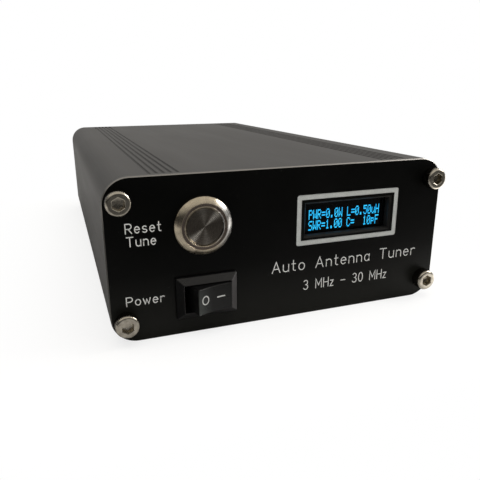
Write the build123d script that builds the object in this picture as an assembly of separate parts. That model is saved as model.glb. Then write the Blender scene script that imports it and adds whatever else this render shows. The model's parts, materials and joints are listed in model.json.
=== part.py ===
from build123d import *
import os
from math import cos, radians, sin

# A small automatic antenna tuner in a two-half extruded case.
# Millimetres.  X runs to the right, Y from the front plate to the rear plate, Z up.
# The origin is on the underside, at mid width and mid length.

# Case
CASE_WIDTH = 88.0
CASE_HEIGHT = 38.5
CASE_LENGTH = 150.0
CORNER_RADIUS = 6.2
WALL = 1.6
PLATE = 2.0
PLATE_CHAMFER = 0.25
MID_Z = CASE_HEIGHT / 2
FRONT = -CASE_LENGTH / 2
REAR = CASE_LENGTH / 2
SHELL_FRONT = FRONT + PLATE
SHELL_REAR = REAR - PLATE
GROOVE_FIRST_X = 26.7
GROOVE_PITCH = 1.6
GROOVE_COUNT = 5
GROOVE_RADIUS = 0.4
SEAM_GAP = 0.04
TONGUE_THICK = 0.7
TONGUE_HEIGHT = 1.2
TONGUE_GAP = 0.05
RIB_REACH = 1.8
RIB_THICK = 1.2
RIB_LOW_Z = 8.2
SLOT_HEIGHT = 1.7

# Case screws, M3 by 8, socket head
CASE_SCREW_X = 40.6
CASE_SCREW_Z = 14.07
BOSS_RADIUS = 3.0
BOSS_BORE = 1.5
M3_SHANK = 1.45
M3_CLEARANCE = 1.65
CAP_HEAD_RADIUS = 2.75
CAP_HEAD_HEIGHT = 3.0
CAP_HEX_RADIUS = 1.44
CAP_HEX_DEPTH = 1.6
CASE_SCREW_LENGTH = 8.0

# Display window and its engraved frame, on the front plate
WINDOW_X = (4.4, 28.5)
WINDOW_Z = (MID_Z + 1.6, MID_Z + 9.7)
WINDOW_CHAMFER = 0.45
FRAME_OUTER_X = (1.9, 31.0)
FRAME_OUTER_Z = (MID_Z - 0.7, MID_Z + 12.1)
FRAME_BAND = 1.25
FRAME_CORNER = 0.6
FRAME_DEPTH = 0.1

# Pushbutton
BUTTON_X = -21.9
BUTTON_Z = MID_Z + 7.15
FLANGE_RADIUS = 6.85
FLANGE_PROUD = 2.0
BARREL_RADIUS = 5.95
BUTTON_HOLE = 6.05
CAP_RADIUS = 4.35
CAP_BORE = 4.6
CAP_RECESS = 0.2
BARREL_BORE = 5.2
BARREL_END = FRONT + 18.0
SPRING_MEAN = 4.2
SPRING_WIRE = 0.22
BUTTON_NUT_FLATS = 14.0

# Rocker switch
ROCKER_X = -21.5
ROCKER_Z = MID_Z - 9.9
BEZEL_HALF = (7.45, 5.05)
BEZEL_PROUD = 2.0
BEZEL_EDGE = 0.35
BEZEL_LIP = 0.12
OPENING_HALF = (5.65, 3.35)
ROCKER_BODY_HALF = (6.45, 4.25)
ROCKER_BODY_DEPTH = 12.5
ROCKER_FLOOR = 1.2
ROCKER_PIVOT_Y = FRONT + 0.8
ROCKER_TILT = 15.0
PADDLE_HALF = 4.5
PADDLE_HALF_WIDTH = 3.2
PADDLE_TIP = 4.8
PADDLE_HOLLOW = 0.45
PADDLE_FOOT = 1.2
PIVOT_PIN = 0.8
PIVOT_HOLE = 0.85
BAR_TILT = 8.0
BAR_DISH = 12.0
BAR_HALF = 4.2
BAR_THICK = 0.4
BAR_TOP_Y = 7.25
BAR_NOTCH = 0.19
TERMINAL_EDGE = 0.15
TERMINAL_HALF = 1.4
END_TERMINAL_X = -3.6

# Display module
DISPLAY_X = 16.6
DISPLAY_Z = MID_Z + 5.65
GLASS_SIZE = (30.0, 1.3, 11.5)
GLASS_GAP = 0.3
DISPLAY_BOARD_SIZE = (38.0, 1.2, 12.0)
DISPLAY_BOARD_X = 15.6
PIN_PITCH = 2.54

# Coaxial sockets, panel type with a 25.4 square flange
SOCKET_X = 24.0
SOCKET_FLANGE = 25.4
SOCKET_FLANGE_THICK = 2.4
SOCKET_HOLE_OFFSET = 9.13
SOCKET_THREAD = 7.94
SOCKET_LENGTH = 18.0
SOCKET_BORE = 6.35
SLEEVE_RADIUS = 7.3
SLEEVE_HOLE = 7.6
CENTRE_OUTER = 3.1
CENTRE_BORE = 2.0

# Power jack for a 5.5 by 2.1 plug
JACK_BODY = 3.95
JACK_HOLE = 4.05
JACK_BORE = 2.85
JACK_PIN = 1.05
JACK_NUT_FLATS = 11.0

# Main board and its parts
BOARD_THICK = 1.6
BOARD_BOTTOM = 9.45
BOARD_TOP = BOARD_BOTTOM + BOARD_THICK
BOARD_HALF = 42.1
BOARD_Y = (-50.0, 58.0)
SEAT = 0.02
COLUMN_PITCH = 11.5
COLUMN_COUNT = 7
TOROID_COUNT = 3
RELAY_SIZE = (10.5, 15.5, 11.8)
CAPACITOR_RELAY_Y = -12.25
INDUCTOR_RELAY_Y = 6.75
TUNING_CAPACITOR_Y = -25.0
INDUCTOR_Y = 27.0
TOROID_OUTER = 8.75
TOROID_INNER = 4.7
TOROID_HALF = 2.4
COUPLER_Y = 47.0
COUPLER_OUTER = 6.35
COUPLER_INNER = 3.55
MAGNET_WIRE = 0.35
AIR_COIL_RADIUS = 3.6


# ---------------------------------------------------------------- helpers

def box_span(x, y, z):
    """Box given by three (low, high) spans."""
    spans = (x, y, z)
    centre = [(low + high) / 2 for low, high in spans]
    sides = [high - low for low, high in spans]
    return Pos(*centre) * Box(*sides)


def rod_y(x, z, radius, y0, y1):
    """Round bar along Y from y0 to y1."""
    return Pos(x, (y0 + y1) / 2, z) * Rot(90, 0, 0) * Cylinder(radius, y1 - y0)


def rod_z(x, y, radius, z0, z1):
    """Round bar along Z from z0 to z1."""
    return Pos(x, y, (z0 + z1) / 2) * Cylinder(radius, z1 - z0)


def prism_y(sketch, y0, y1):
    """Solid with an X-Z outline, from y0 to y1."""
    plane = Plane((0, y1, 0), x_dir=(1, 0, 0), z_dir=(0, -1, 0))
    return extrude(plane * sketch, y1 - y0)


def prism_z(points, z0, z1):
    """Solid with an X-Y outline, from z0 to z1."""
    return Pos(0, 0, z0) * extrude(Polygon(*points, align=None), z1 - z0, dir=(0, 0, 1))


def rect_span(x, z):
    """Flat rectangle given by two (low, high) spans."""
    return Pos((x[0] + x[1]) / 2, (z[0] + z[1]) / 2) * Rectangle(x[1] - x[0], z[1] - z[0])


def turned(points, x, z):
    """Turned part: an outline of (radius, y) points spun about the lengthwise axis at x, z."""
    return Pos(x, 0, z) * revolve(Polygon(*points, align=None), Axis.Y)


def hex_prism_y(x, z, flats, y0, y1):
    """Six-sided bar along Y."""
    outline = RegularPolygon(flats / 2, 6, major_radius=False)
    return prism_y(Pos(x, z) * outline, y0, y1)


def bent_wire(points, radius, bend):
    """Round wire along straight runs joined by bends."""
    path = FilletPolyline(*points, radius=bend)
    section = Plane(origin=path @ 0, z_dir=path % 0) * Circle(radius)
    return sweep(section, path)


def coil(path, radius):
    """Round wire along a winding path."""
    section = Plane(origin=path @ 0, z_dir=path % 0) * Circle(radius)
    return sweep(section, path, is_frenet=True)


def group(solids):
    """Separate solids that share one node."""
    return Compound([piece for shape in solids for piece in shape.solids()])


def case_screw_places():
    """The four corner screw axes, as (x, z)."""
    return [(x, MID_Z + z) for x in (-CASE_SCREW_X, CASE_SCREW_X) for z in (-CASE_SCREW_Z, CASE_SCREW_Z)]


def columns():
    """Centres of the relay and inductor columns across the board."""
    first = -COLUMN_PITCH * (COLUMN_COUNT - 1) / 2
    return [first + COLUMN_PITCH * i for i in range(COLUMN_COUNT)]


# ---------------------------------------------------------------- case

def case_outline():
    """Outer outline of the case, centred on the plates."""
    return Pos(0, MID_Z) * RectangleRounded(CASE_WIDTH, CASE_HEIGHT, CORNER_RADIUS)


def case_section():
    """Cross-section of the two case halves together, before they are split."""
    outline = case_outline()
    inner = RectangleRounded(CASE_WIDTH - 2 * WALL, CASE_HEIGHT - 2 * WALL, CORNER_RADIUS - WALL)
    section = outline - Pos(0, MID_Z) * inner
    inner_x = CASE_WIDTH / 2 - WALL
    rib_spans = [
        (RIB_LOW_Z, RIB_LOW_Z + RIB_THICK),
        (RIB_LOW_Z + RIB_THICK + SLOT_HEIGHT, RIB_LOW_Z + 2 * RIB_THICK + SLOT_HEIGHT),
    ]
    for side in (-1, 1):
        for low, high in rib_spans:
            for z_span in ((low, high), (CASE_HEIGHT - high, CASE_HEIGHT - low)):
                reach = sorted((side * (inner_x - RIB_REACH), side * (inner_x + WALL / 2)))
                section += rect_span(reach, z_span)
    for x, z in case_screw_places():
        side_x = CASE_WIDTH / 2 if x > 0 else -CASE_WIDTH / 2
        side_z = CASE_HEIGHT if z > MID_Z else 0.0
        inward_x = x - BOSS_RADIUS if x > 0 else x + BOSS_RADIUS
        block = rect_span(sorted((inward_x, side_x)), sorted((z, side_z)))
        section += (Pos(x, z) * Circle(BOSS_RADIUS) + block) & outline
    for x, z in case_screw_places():
        section -= Pos(x, z) * Circle(BOSS_BORE)
    for i in range(GROOVE_COUNT):
        groove_x = GROOVE_FIRST_X + GROOVE_PITCH * i
        for x in (-groove_x, groove_x):
            for z in (0.0, CASE_HEIGHT):
                section -= Pos(x, z) * Circle(GROOVE_RADIUS)
    return section


def tongue_spans(extra):
    """X and Z spans of the right-hand tongue, grown by extra for the rebate it sits in."""
    inner_x = CASE_WIDTH / 2 - WALL
    return (
        (inner_x + TONGUE_GAP - extra, inner_x + TONGUE_GAP + TONGUE_THICK + extra),
        (MID_Z - TONGUE_HEIGHT - extra, MID_Z + SEAM_GAP),
    )


def mirrored_rects(spans):
    """A rectangle and its mirror image across the middle of the case."""
    x, z = spans
    return rect_span(x, z) + rect_span((-x[1], -x[0]), z)


def top_shell():
    """Upper half of the case, with a tongue along each side."""
    half = case_section() & rect_span((-CASE_WIDTH, CASE_WIDTH), (MID_Z + SEAM_GAP, CASE_HEIGHT + 1))
    return prism_y(half + mirrored_rects(tongue_spans(0.0)), SHELL_FRONT, SHELL_REAR)


def bottom_shell():
    """Lower half of the case, rebated to take the tongues."""
    half = case_section() & rect_span((-CASE_WIDTH, CASE_WIDTH), (-1, MID_Z))
    return prism_y(half - mirrored_rects(tongue_spans(TONGUE_GAP)), SHELL_FRONT, SHELL_REAR)


def plate(y0, y1, outer_y):
    """End plate with its four screw holes and a small chamfer round its outer face."""
    blank = prism_y(case_outline(), y0, y1)
    rim = blank.edges().filter_by_position(Axis.Y, outer_y, outer_y)
    blank = chamfer(rim, PLATE_CHAMFER)
    for x, z in case_screw_places():
        blank -= rod_y(x, z, M3_CLEARANCE, y0 - 1, y1 + 1)
    return blank


def front_panel():
    """Front plate with the button, switch and display cut-outs and the engraved display frame."""
    panel = plate(FRONT, SHELL_FRONT, FRONT)
    panel -= rod_y(BUTTON_X, BUTTON_Z, BUTTON_HOLE, FRONT - 1, SHELL_FRONT + 1)
    gap = 0.15
    x_span = (ROCKER_X - ROCKER_BODY_HALF[0] - gap, ROCKER_X + ROCKER_BODY_HALF[0] + gap)
    z_span = (ROCKER_Z - ROCKER_BODY_HALF[1] - gap, ROCKER_Z + ROCKER_BODY_HALF[1] + gap)
    panel -= box_span(x_span, (FRONT - 1, SHELL_FRONT + 1), z_span)
    panel -= prism_y(rect_span(WINDOW_X, WINDOW_Z), FRONT - 1, SHELL_FRONT + 1)
    panel -= window_chamfer()
    outer = rect_span(FRAME_OUTER_X, FRAME_OUTER_Z)
    outer = fillet(outer.vertices(), FRAME_CORNER)
    inner_x = (FRAME_OUTER_X[0] + FRAME_BAND, FRAME_OUTER_X[1] - FRAME_BAND)
    inner_z = (FRAME_OUTER_Z[0] + FRAME_BAND, FRAME_OUTER_Z[1] - FRAME_BAND)
    band = outer - rect_span(inner_x, inner_z)
    return panel - prism_y(band, FRONT - FRAME_DEPTH, FRONT + FRAME_DEPTH)


def window_chamfer():
    """Wedge-sided block that bevels the front edge of the display window."""
    grown_x = (WINDOW_X[0] - WINDOW_CHAMFER, WINDOW_X[1] + WINDOW_CHAMFER)
    grown_z = (WINDOW_Z[0] - WINDOW_CHAMFER, WINDOW_Z[1] + WINDOW_CHAMFER)
    front_plane = Plane((0, FRONT, 0), x_dir=(1, 0, 0), z_dir=(0, -1, 0))
    back_plane = Plane((0, FRONT + WINDOW_CHAMFER, 0), x_dir=(1, 0, 0), z_dir=(0, -1, 0))
    return loft([back_plane * rect_span(WINDOW_X, WINDOW_Z), front_plane * rect_span(grown_x, grown_z)])


def rear_panel():
    """Rear plate with holes for the two coaxial sockets and the power jack."""
    panel = plate(SHELL_REAR, REAR, REAR)
    for x in (-SOCKET_X, SOCKET_X):
        panel -= rod_y(x, MID_Z, SLEEVE_HOLE, SHELL_REAR - 1, REAR + 1)
        for hole_x, hole_z in socket_hole_places(x):
            panel -= rod_y(hole_x, hole_z, M3_CLEARANCE, SHELL_REAR - 1, REAR + 1)
    return panel - rod_y(0, MID_Z, JACK_HOLE, SHELL_REAR - 1, REAR + 1)


def case_screw(x, z, face, outward):
    """Socket-head screw through a plate; outward is the way its head points."""
    head_end = face + outward * CAP_HEAD_HEIGHT
    head = rod_y(x, z, CAP_HEAD_RADIUS, *sorted((face, head_end)))
    rim = head.edges().filter_by_position(Axis.Y, head_end, head_end)
    head = chamfer(rim, 0.3)
    hex_end = head_end - outward * CAP_HEX_DEPTH
    head -= hex_prism_y(x, z, 2 * CAP_HEX_RADIUS * cos(radians(30)), *sorted((hex_end, head_end)))
    shank_end = face - outward * CASE_SCREW_LENGTH
    return head + rod_y(x, z, M3_SHANK, *sorted((face, shank_end)))


# ---------------------------------------------------------------- pushbutton

def button_housing():
    """Bevelled flange and barrel, bored in two steps, with a groove for the O-ring."""
    face = FRONT - FLANGE_PROUD
    lip_end = FRONT + 0.8
    body = turned([
        (CAP_BORE + 0.15, face),
        (FLANGE_RADIUS - 1.45, face),
        (FLANGE_RADIUS, face + 1.5),
        (FLANGE_RADIUS, FRONT),
        (BARREL_RADIUS, FRONT),
        (BARREL_RADIUS, BARREL_END - 0.3),
        (BARREL_RADIUS - 0.3, BARREL_END),
        (BARREL_BORE, BARREL_END),
        (BARREL_BORE, lip_end),
        (CAP_BORE, lip_end),
        (CAP_BORE, face + 0.15),
    ], BUTTON_X, BUTTON_Z)
    groove = turned([(6.08, FRONT - 0.5), (6.62, FRONT - 0.5), (6.62, FRONT), (6.08, FRONT)],
                    BUTTON_X, BUTTON_Z)
    return body - groove


def button_seal():
    """O-ring in the groove behind the flange."""
    return Pos(BUTTON_X, FRONT - 0.25, BUTTON_Z) * Rot(90, 0, 0) * Torus(6.35, 0.24)


def button_nut():
    """Hexagon nut that clamps the barrel behind the front plate."""
    blank = hex_prism_y(BUTTON_X, BUTTON_Z, BUTTON_NUT_FLATS, SHELL_FRONT + SEAT, SHELL_FRONT + 2.0)
    return blank - rod_y(BUTTON_X, BUTTON_Z, BUTTON_HOLE - 0.05, SHELL_FRONT - 1, SHELL_FRONT + 3)


def button_cap():
    """Metal cap held by a rim behind the lip of the flange, hollow at the back."""
    face = FRONT - FLANGE_PROUD + CAP_RECESS
    rim_front = FRONT + 0.85
    rim_back = rim_front + 1.0
    return turned([
        (0, face),
        (CAP_RADIUS - 0.15, face),
        (CAP_RADIUS, face + 0.15),
        (CAP_RADIUS, rim_front),
        (5.1, rim_front),
        (5.1, rim_back),
        (2.0, rim_back),
        (2.0, rim_back - 1.4),
        (0, rim_back - 1.4),
    ], BUTTON_X, BUTTON_Z)


def button_plunger():
    """Plastic plunger: spigot in the cap, disc that seats the spring, stem to the contact."""
    disc_front = FRONT + 1.87
    disc_back = disc_front + 1.3
    return turned([
        (0, disc_front - 1.2),
        (1.95, disc_front - 1.2),
        (1.95, disc_front),
        (4.95, disc_front),
        (4.95, disc_back),
        (1.8, disc_back),
        (1.8, FRONT + 12.2),
        (0, FRONT + 12.2),
    ], BUTTON_X, BUTTON_Z)


def button_spring():
    """Return spring between the plunger disc and the base."""
    start = FRONT + 3.2 + SPRING_WIRE
    height = 14.5 - 3.2 - 2 * SPRING_WIRE - 0.05
    path = Helix(pitch=height / 7, height=height, radius=SPRING_MEAN, center=(0, 0, 0), direction=(0, 1, 0))
    return Pos(BUTTON_X, start, BUTTON_Z) * coil(path, SPRING_WIRE)


def button_moving_contact():
    """Bridge plate at the end of the stem."""
    return rod_y(BUTTON_X, BUTTON_Z, 3.4, FRONT + 12.22, FRONT + 12.47)


def button_base():
    """Plastic plug that closes the barrel and holds the terminals."""
    body = turned([
        (0, FRONT + 14.5), (5.15, FRONT + 14.5), (5.15, BARREL_END), (5.6, BARREL_END + 0.02),
        (5.6, BARREL_END + 1.0), (0, BARREL_END + 1.0),
    ], BUTTON_X, BUTTON_Z)
    for side in (-1, 1):
        body -= rod_y(BUTTON_X + side * 2.2, BUTTON_Z, 0.52, FRONT + 14, BARREL_END + 2)
    return body


def button_terminals():
    """Two fixed contacts with solder lugs behind the base."""
    pieces = []
    for side in (-1, 1):
        x = BUTTON_X + side * 2.2
        head = rod_y(x, BUTTON_Z, 0.9, FRONT + 14.0, FRONT + 14.48)
        shaft = rod_y(x, BUTTON_Z, 0.5, FRONT + 14.48, BARREL_END + 2.0)
        lug_y = (BARREL_END + 2.0, BARREL_END + 5.0)
        lug = box_span((x - 0.25, x + 0.25), lug_y, (BUTTON_Z - 0.9, BUTTON_Z + 0.9))
        pieces.append(head + shaft + lug)
    return group(pieces)


# ---------------------------------------------------------------- rocker switch

def at_rocker(shape):
    """Carries a shape drawn about the rocker pivot to its place in the case."""
    return Pos(ROCKER_X, ROCKER_PIVOT_Y, ROCKER_Z) * shape


def rocker_housing():
    """Sloped bezel and box body in one, with pivot holes, snap barbs and terminal slots."""
    front_rect = Rectangle(2 * (OPENING_HALF[0] + BEZEL_LIP), 2 * (OPENING_HALF[1] + BEZEL_LIP))
    base_rect = Rectangle(2 * BEZEL_HALF[0], 2 * BEZEL_HALF[1])
    front_plane = Plane((ROCKER_X, FRONT - BEZEL_PROUD, ROCKER_Z), x_dir=(1, 0, 0), z_dir=(0, -1, 0))
    base_plane = Plane((ROCKER_X, FRONT - BEZEL_EDGE, ROCKER_Z), x_dir=(1, 0, 0), z_dir=(0, -1, 0))
    body = loft([base_plane * base_rect, front_plane * front_rect])
    body += extrude(base_plane * base_rect, -BEZEL_EDGE)
    end = FRONT + ROCKER_BODY_DEPTH
    body += box_span(
        (ROCKER_X - ROCKER_BODY_HALF[0], ROCKER_X + ROCKER_BODY_HALF[0]),
        (FRONT, end),
        (ROCKER_Z - ROCKER_BODY_HALF[1], ROCKER_Z + ROCKER_BODY_HALF[1]),
    )
    body -= box_span(
        (ROCKER_X - OPENING_HALF[0], ROCKER_X + OPENING_HALF[0]),
        (FRONT - BEZEL_PROUD - 1, end - ROCKER_FLOOR),
        (ROCKER_Z - OPENING_HALF[1], ROCKER_Z + OPENING_HALF[1]),
    )
    body -= rod_z(ROCKER_X, ROCKER_PIVOT_Y, PIVOT_HOLE, ROCKER_Z - 3.85, ROCKER_Z + 3.85)
    for side in (-1, 1):
        wall_x = ROCKER_X + side * (ROCKER_BODY_HALF[0] - 0.1)
        tip_x = ROCKER_X + side * 7.2
        barb = [(wall_x, SHELL_FRONT + 0.05), (tip_x, SHELL_FRONT + 0.05), (wall_x, SHELL_FRONT + 3.5)]
        body += prism_z(barb, ROCKER_Z - 2.0, ROCKER_Z + 2.0)
    for x, half_x, half_z in ((0.0, 0.33, 1.43), (END_TERMINAL_X, 0.33, 1.43)):
        body -= box_span(
            (ROCKER_X + x - half_x, ROCKER_X + x + half_x),
            (end - ROCKER_FLOOR - 1, end + 1),
            (ROCKER_Z - half_z, ROCKER_Z + half_z),
        )
    return body


def rocker_paddle():
    """Paddle with a hollowed face, two pivot pins and a bored post, tilted to its on position."""
    front = ThreePointArc((-PADDLE_HALF, -PADDLE_TIP), (0, PADDLE_HOLLOW - PADDLE_TIP), (PADDLE_HALF, -PADDLE_TIP))
    back = Polyline(
        (PADDLE_HALF, -PADDLE_TIP), (PADDLE_HALF, PADDLE_FOOT),
        (-PADDLE_HALF, PADDLE_FOOT), (-PADDLE_HALF, -PADDLE_TIP),
    )
    outline = make_face(Curve() + [front, back])
    paddle = Pos(0, 0, -PADDLE_HALF_WIDTH) * extrude(outline, 2 * PADDLE_HALF_WIDTH)
    rim = paddle.edges().filter_by(lambda e: e.center().Y < -PADDLE_TIP + PADDLE_HOLLOW + 0.1)
    paddle = fillet(rim, 0.22)
    pin_end = PADDLE_HALF_WIDTH + 0.55
    paddle += rod_z(0, 0, PIVOT_PIN, -pin_end, pin_end)
    paddle += rod_y(0, 0, 1.6, 0.5, 5.0)
    paddle -= rod_y(0, 0, 1.0, 0.9, 6.0)
    return at_rocker(Rot(0, 0, ROCKER_TILT) * paddle)


def rocker_plunger():
    """Round-nosed plunger in the post of the paddle."""
    nose_y = 6.3
    plunger = rod_y(0, 0, 0.93, 3.0, nose_y) + Pos(0, nose_y, 0) * Sphere(0.93)
    return at_rocker(Rot(0, 0, ROCKER_TILT) * plunger)


def rocker_spring():
    """Small spring that pushes the plunger out of the post."""
    wire = 0.14
    height = 3.0 - 0.9 - 2 * wire - 0.06
    path = Helix(pitch=height / 4, height=height, radius=0.72, center=(0, 0, 0), direction=(0, 1, 0))
    spring = Pos(0, 0.9 + wire + 0.03, 0) * coil(path, wire)
    return at_rocker(Rot(0, 0, ROCKER_TILT) * spring)


def rocker_contact_bar():
    """Dished see-saw bar with a contact at one end, tilted to the closed position."""
    rise = BAR_HALF * sin(radians(BAR_DISH)) / cos(radians(BAR_DISH))
    outline = [
        (-BAR_HALF, -rise - BAR_THICK), (0, -BAR_THICK), (BAR_HALF, -rise - BAR_THICK),
        (BAR_HALF, -rise), (0, 0), (-BAR_HALF, -rise),
    ]
    bar = prism_z(outline, -1.4, 1.4) - rod_z(0, 0, BAR_NOTCH, -2, 2)
    contact_y = -rise * 3.6 / BAR_HALF
    bar += rod_y(END_TERMINAL_X, 0, 0.7, contact_y - 0.15, contact_y + 0.4)
    return at_rocker(Pos(0, BAR_TOP_Y + BAR_THICK, 0) * Rot(0, 0, -BAR_TILT) * bar)


def rocker_pivot_terminal():
    """Middle terminal: its round upper edge is the pivot of the see-saw bar."""
    pivot_y = ROCKER_PIVOT_Y + BAR_TOP_Y + BAR_THICK
    edge = rod_z(ROCKER_X, pivot_y, TERMINAL_EDGE, ROCKER_Z - TERMINAL_HALF, ROCKER_Z + TERMINAL_HALF)
    return rocker_blade(ROCKER_X, pivot_y + 0.05) + edge


def rocker_end_terminal():
    """End terminal with the fixed contact pad."""
    x = ROCKER_X + END_TERMINAL_X
    top = ROCKER_PIVOT_Y + BAR_TOP_Y + BAR_THICK + 0.35
    pad = box_span((x - 1.0, x + 1.0), (top, top + 0.4), (ROCKER_Z - 1.2, ROCKER_Z + 1.2))
    return rocker_blade(x, top + 0.4) + pad


def rocker_blade(x, top):
    """Flat terminal blade from y = top out through the floor of the switch."""
    end = FRONT + ROCKER_BODY_DEPTH + 6.0
    blade = box_span((x - 0.3, x + 0.3), (top, end), (ROCKER_Z - TERMINAL_HALF, ROCKER_Z + TERMINAL_HALF))
    hole = Pos(x, end - 1.6, ROCKER_Z) * Rot(0, 90, 0) * Cylinder(0.6, 2)
    return blade - hole


# ---------------------------------------------------------------- display

def glass_front():
    """Y of the glass's front face."""
    return SHELL_FRONT + GLASS_GAP


def display_glass():
    """Glass of the display."""
    width, depth, height = GLASS_SIZE
    front = glass_front()
    glass = box_span(
        (DISPLAY_X - width / 2, DISPLAY_X + width / 2),
        (front, front + depth - SEAT),
        (DISPLAY_Z - height / 2, DISPLAY_Z + height / 2),
    )
    return chamfer(glass.edges().filter_by_position(Axis.Y, front, front), 0.1)


def display_gasket():
    """Foam frame between the glass and the front plate."""
    width, _, height = GLASS_SIZE
    outer = Pos(DISPLAY_X, DISPLAY_Z) * Rectangle(width, height)
    inner = rect_span(
        (WINDOW_X[0] - 0.3, WINDOW_X[1] + 0.3),
        (WINDOW_Z[0] - 0.3, WINDOW_Z[1] + 0.3),
    )
    return prism_y(outer - inner, SHELL_FRONT + SEAT, glass_front() - SEAT)


def display_board():
    """Small circuit board behind the glass, with four pin holes at its left end."""
    width, thick, height = DISPLAY_BOARD_SIZE
    front = glass_front() + GLASS_SIZE[1]
    board = box_span(
        (DISPLAY_BOARD_X - width / 2, DISPLAY_BOARD_X + width / 2),
        (front, front + thick),
        (DISPLAY_Z - height / 2, DISPLAY_Z + height / 2),
    )
    for x, z in display_pin_places():
        board -= rod_y(x, z, 0.5, front - 1, front + thick + 1)
    return board


def display_pin_places():
    """Header pin axes of the display board, as (x, z)."""
    x = DISPLAY_BOARD_X - DISPLAY_BOARD_SIZE[0] / 2 + 1.4
    return [(x, DISPLAY_Z + PIN_PITCH * (i - 1.5)) for i in range(4)]


def display_header():
    """Pin strip behind the display board."""
    board_front = glass_front() + GLASS_SIZE[1]
    board_back = board_front + DISPLAY_BOARD_SIZE[1]
    x = display_pin_places()[0][0]
    strip_y = (board_back + SEAT, board_back + 2.5)
    strip = box_span((x - 1.25, x + 1.25), strip_y, (DISPLAY_Z - 5.1, DISPLAY_Z + 5.1))
    for pin_x, pin_z in display_pin_places():
        strip += rod_y(pin_x, pin_z, 0.35, board_front + 0.05, board_back + 8.5)
    return strip


def display_flex():
    """Thin flex strip from the edge of the glass round the end of the display board."""
    board_front = glass_front() + GLASS_SIZE[1]
    board_back = board_front + DISPLAY_BOARD_SIZE[1]
    board_end = DISPLAY_BOARD_X + DISPLAY_BOARD_SIZE[0] / 2
    glass_end = DISPLAY_X + GLASS_SIZE[0] / 2
    z = (DISPLAY_Z - 3.5, DISPLAY_Z + 3.5)
    thick = 0.12
    gap = 0.03
    flex = box_span((glass_end + gap, board_end + gap + thick), (board_front - gap - thick, board_front - gap), z)
    flex += box_span(
        (board_end + gap, board_end + gap + thick), (board_front - gap - thick, board_back + gap + thick), z
    )
    return flex + box_span(
        (board_end - 5.0, board_end + gap + thick), (board_back + gap, board_back + gap + thick), z
    )


# ---------------------------------------------------------------- coaxial sockets and power jack

def socket_hole_places(x):
    """Four flange hole axes of the socket at x, as (x, z)."""
    return [
        (x + side_x * SOCKET_HOLE_OFFSET, MID_Z + side_z * SOCKET_HOLE_OFFSET)
        for side_x in (-1, 1)
        for side_z in (-1, 1)
    ]


def socket_shell(x):
    """Square flange with a threaded barrel outside and a short sleeve inside the case."""
    barrel = turned([
        (SOCKET_BORE, REAR - 7.0), (SLEEVE_RADIUS, REAR - 7.0), (SLEEVE_RADIUS, REAR + 4.0),
        (SOCKET_THREAD, REAR + 4.6), (SOCKET_THREAD, REAR + SOCKET_LENGTH - 0.4),
        (SOCKET_THREAD - 0.4, REAR + SOCKET_LENGTH), (SOCKET_BORE, REAR + SOCKET_LENGTH),
    ], x, MID_Z)
    outline = Pos(x, MID_Z) * RectangleRounded(SOCKET_FLANGE, SOCKET_FLANGE, 1.5)
    outline -= Pos(x, MID_Z) * Circle(SOCKET_BORE)
    for hole_x, hole_z in socket_hole_places(x):
        outline -= Pos(hole_x, hole_z) * Circle(M3_CLEARANCE)
    shell = barrel + prism_y(outline, REAR + SEAT, REAR + SOCKET_FLANGE_THICK)
    tip = (REAR + SOCKET_LENGTH - 1.0, REAR + SOCKET_LENGTH + 1.0)
    reach = SOCKET_THREAD + 1
    shell -= box_span((x - reach, x + reach), tip, (MID_Z - 0.7, MID_Z + 0.7))
    return shell - box_span((x - 0.7, x + 0.7), tip, (MID_Z - reach, MID_Z + reach))


def socket_insulator(x):
    """Insulating bush inside the socket shell."""
    return turned([
        (CENTRE_OUTER + 0.03, REAR - 8.2), (6.9, REAR - 8.2), (6.9, REAR - 7.03),
        (SOCKET_BORE - 0.03, REAR - 7.03), (SOCKET_BORE - 0.03, REAR + 7.6),
        (SOCKET_BORE - 0.43, REAR + 8.0), (CENTRE_OUTER + 0.03, REAR + 8.0),
    ], x, MID_Z)


def socket_contact(x):
    """Centre contact: slotted tube at the front, solder cup at the back."""
    tip = REAR + 16.0
    contact = turned([
        (0, REAR - 10.0), (1.5, REAR - 10.0), (1.5, REAR - 14.0), (2.4, REAR - 14.0),
        (2.4, REAR - 9.2), (3.6, REAR - 9.2), (3.6, REAR - 8.22), (CENTRE_OUTER, REAR - 8.22),
        (CENTRE_OUTER, tip - 0.3), (CENTRE_OUTER - 0.3, tip), (CENTRE_BORE + 0.3, tip),
        (CENTRE_BORE, tip - 0.3), (CENTRE_BORE, tip - 12.0), (0, tip - 12.0),
    ], x, MID_Z)
    slot_y = (tip - 6.5, tip + 1)
    contact -= box_span((x - 4, x + 4), slot_y, (MID_Z - 0.25, MID_Z + 0.25))
    return contact - box_span((x - 0.25, x + 0.25), slot_y, (MID_Z - 4, MID_Z + 4))


def socket_screws():
    """Eight M3 pan-head screws through the socket flanges."""
    pieces = []
    seat = REAR + SOCKET_FLANGE_THICK + SEAT
    for x in (-SOCKET_X, SOCKET_X):
        for hole_x, hole_z in socket_hole_places(x):
            head = rod_y(hole_x, hole_z, 2.75, seat, seat + 1.9)
            head = fillet(head.edges().filter_by_position(Axis.Y, seat + 1.9, seat + 1.9), 0.8)
            slot_y = (seat + 0.9, seat + 2.5)
            head -= box_span((hole_x - 1.6, hole_x + 1.6), slot_y, (hole_z - 0.3, hole_z + 0.3))
            head -= box_span((hole_x - 0.3, hole_x + 0.3), slot_y, (hole_z - 1.6, hole_z + 1.6))
            pieces.append(head + rod_y(hole_x, hole_z, M3_SHANK, seat - 10.0, seat))
    return group(pieces)


def lug_screw_place(x):
    """The flange screw that also holds the ground lug: the lower one nearest the middle."""
    inward = -SOCKET_HOLE_OFFSET if x > 0 else SOCKET_HOLE_OFFSET
    return (x + inward, MID_Z - SOCKET_HOLE_OFFSET)


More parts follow.
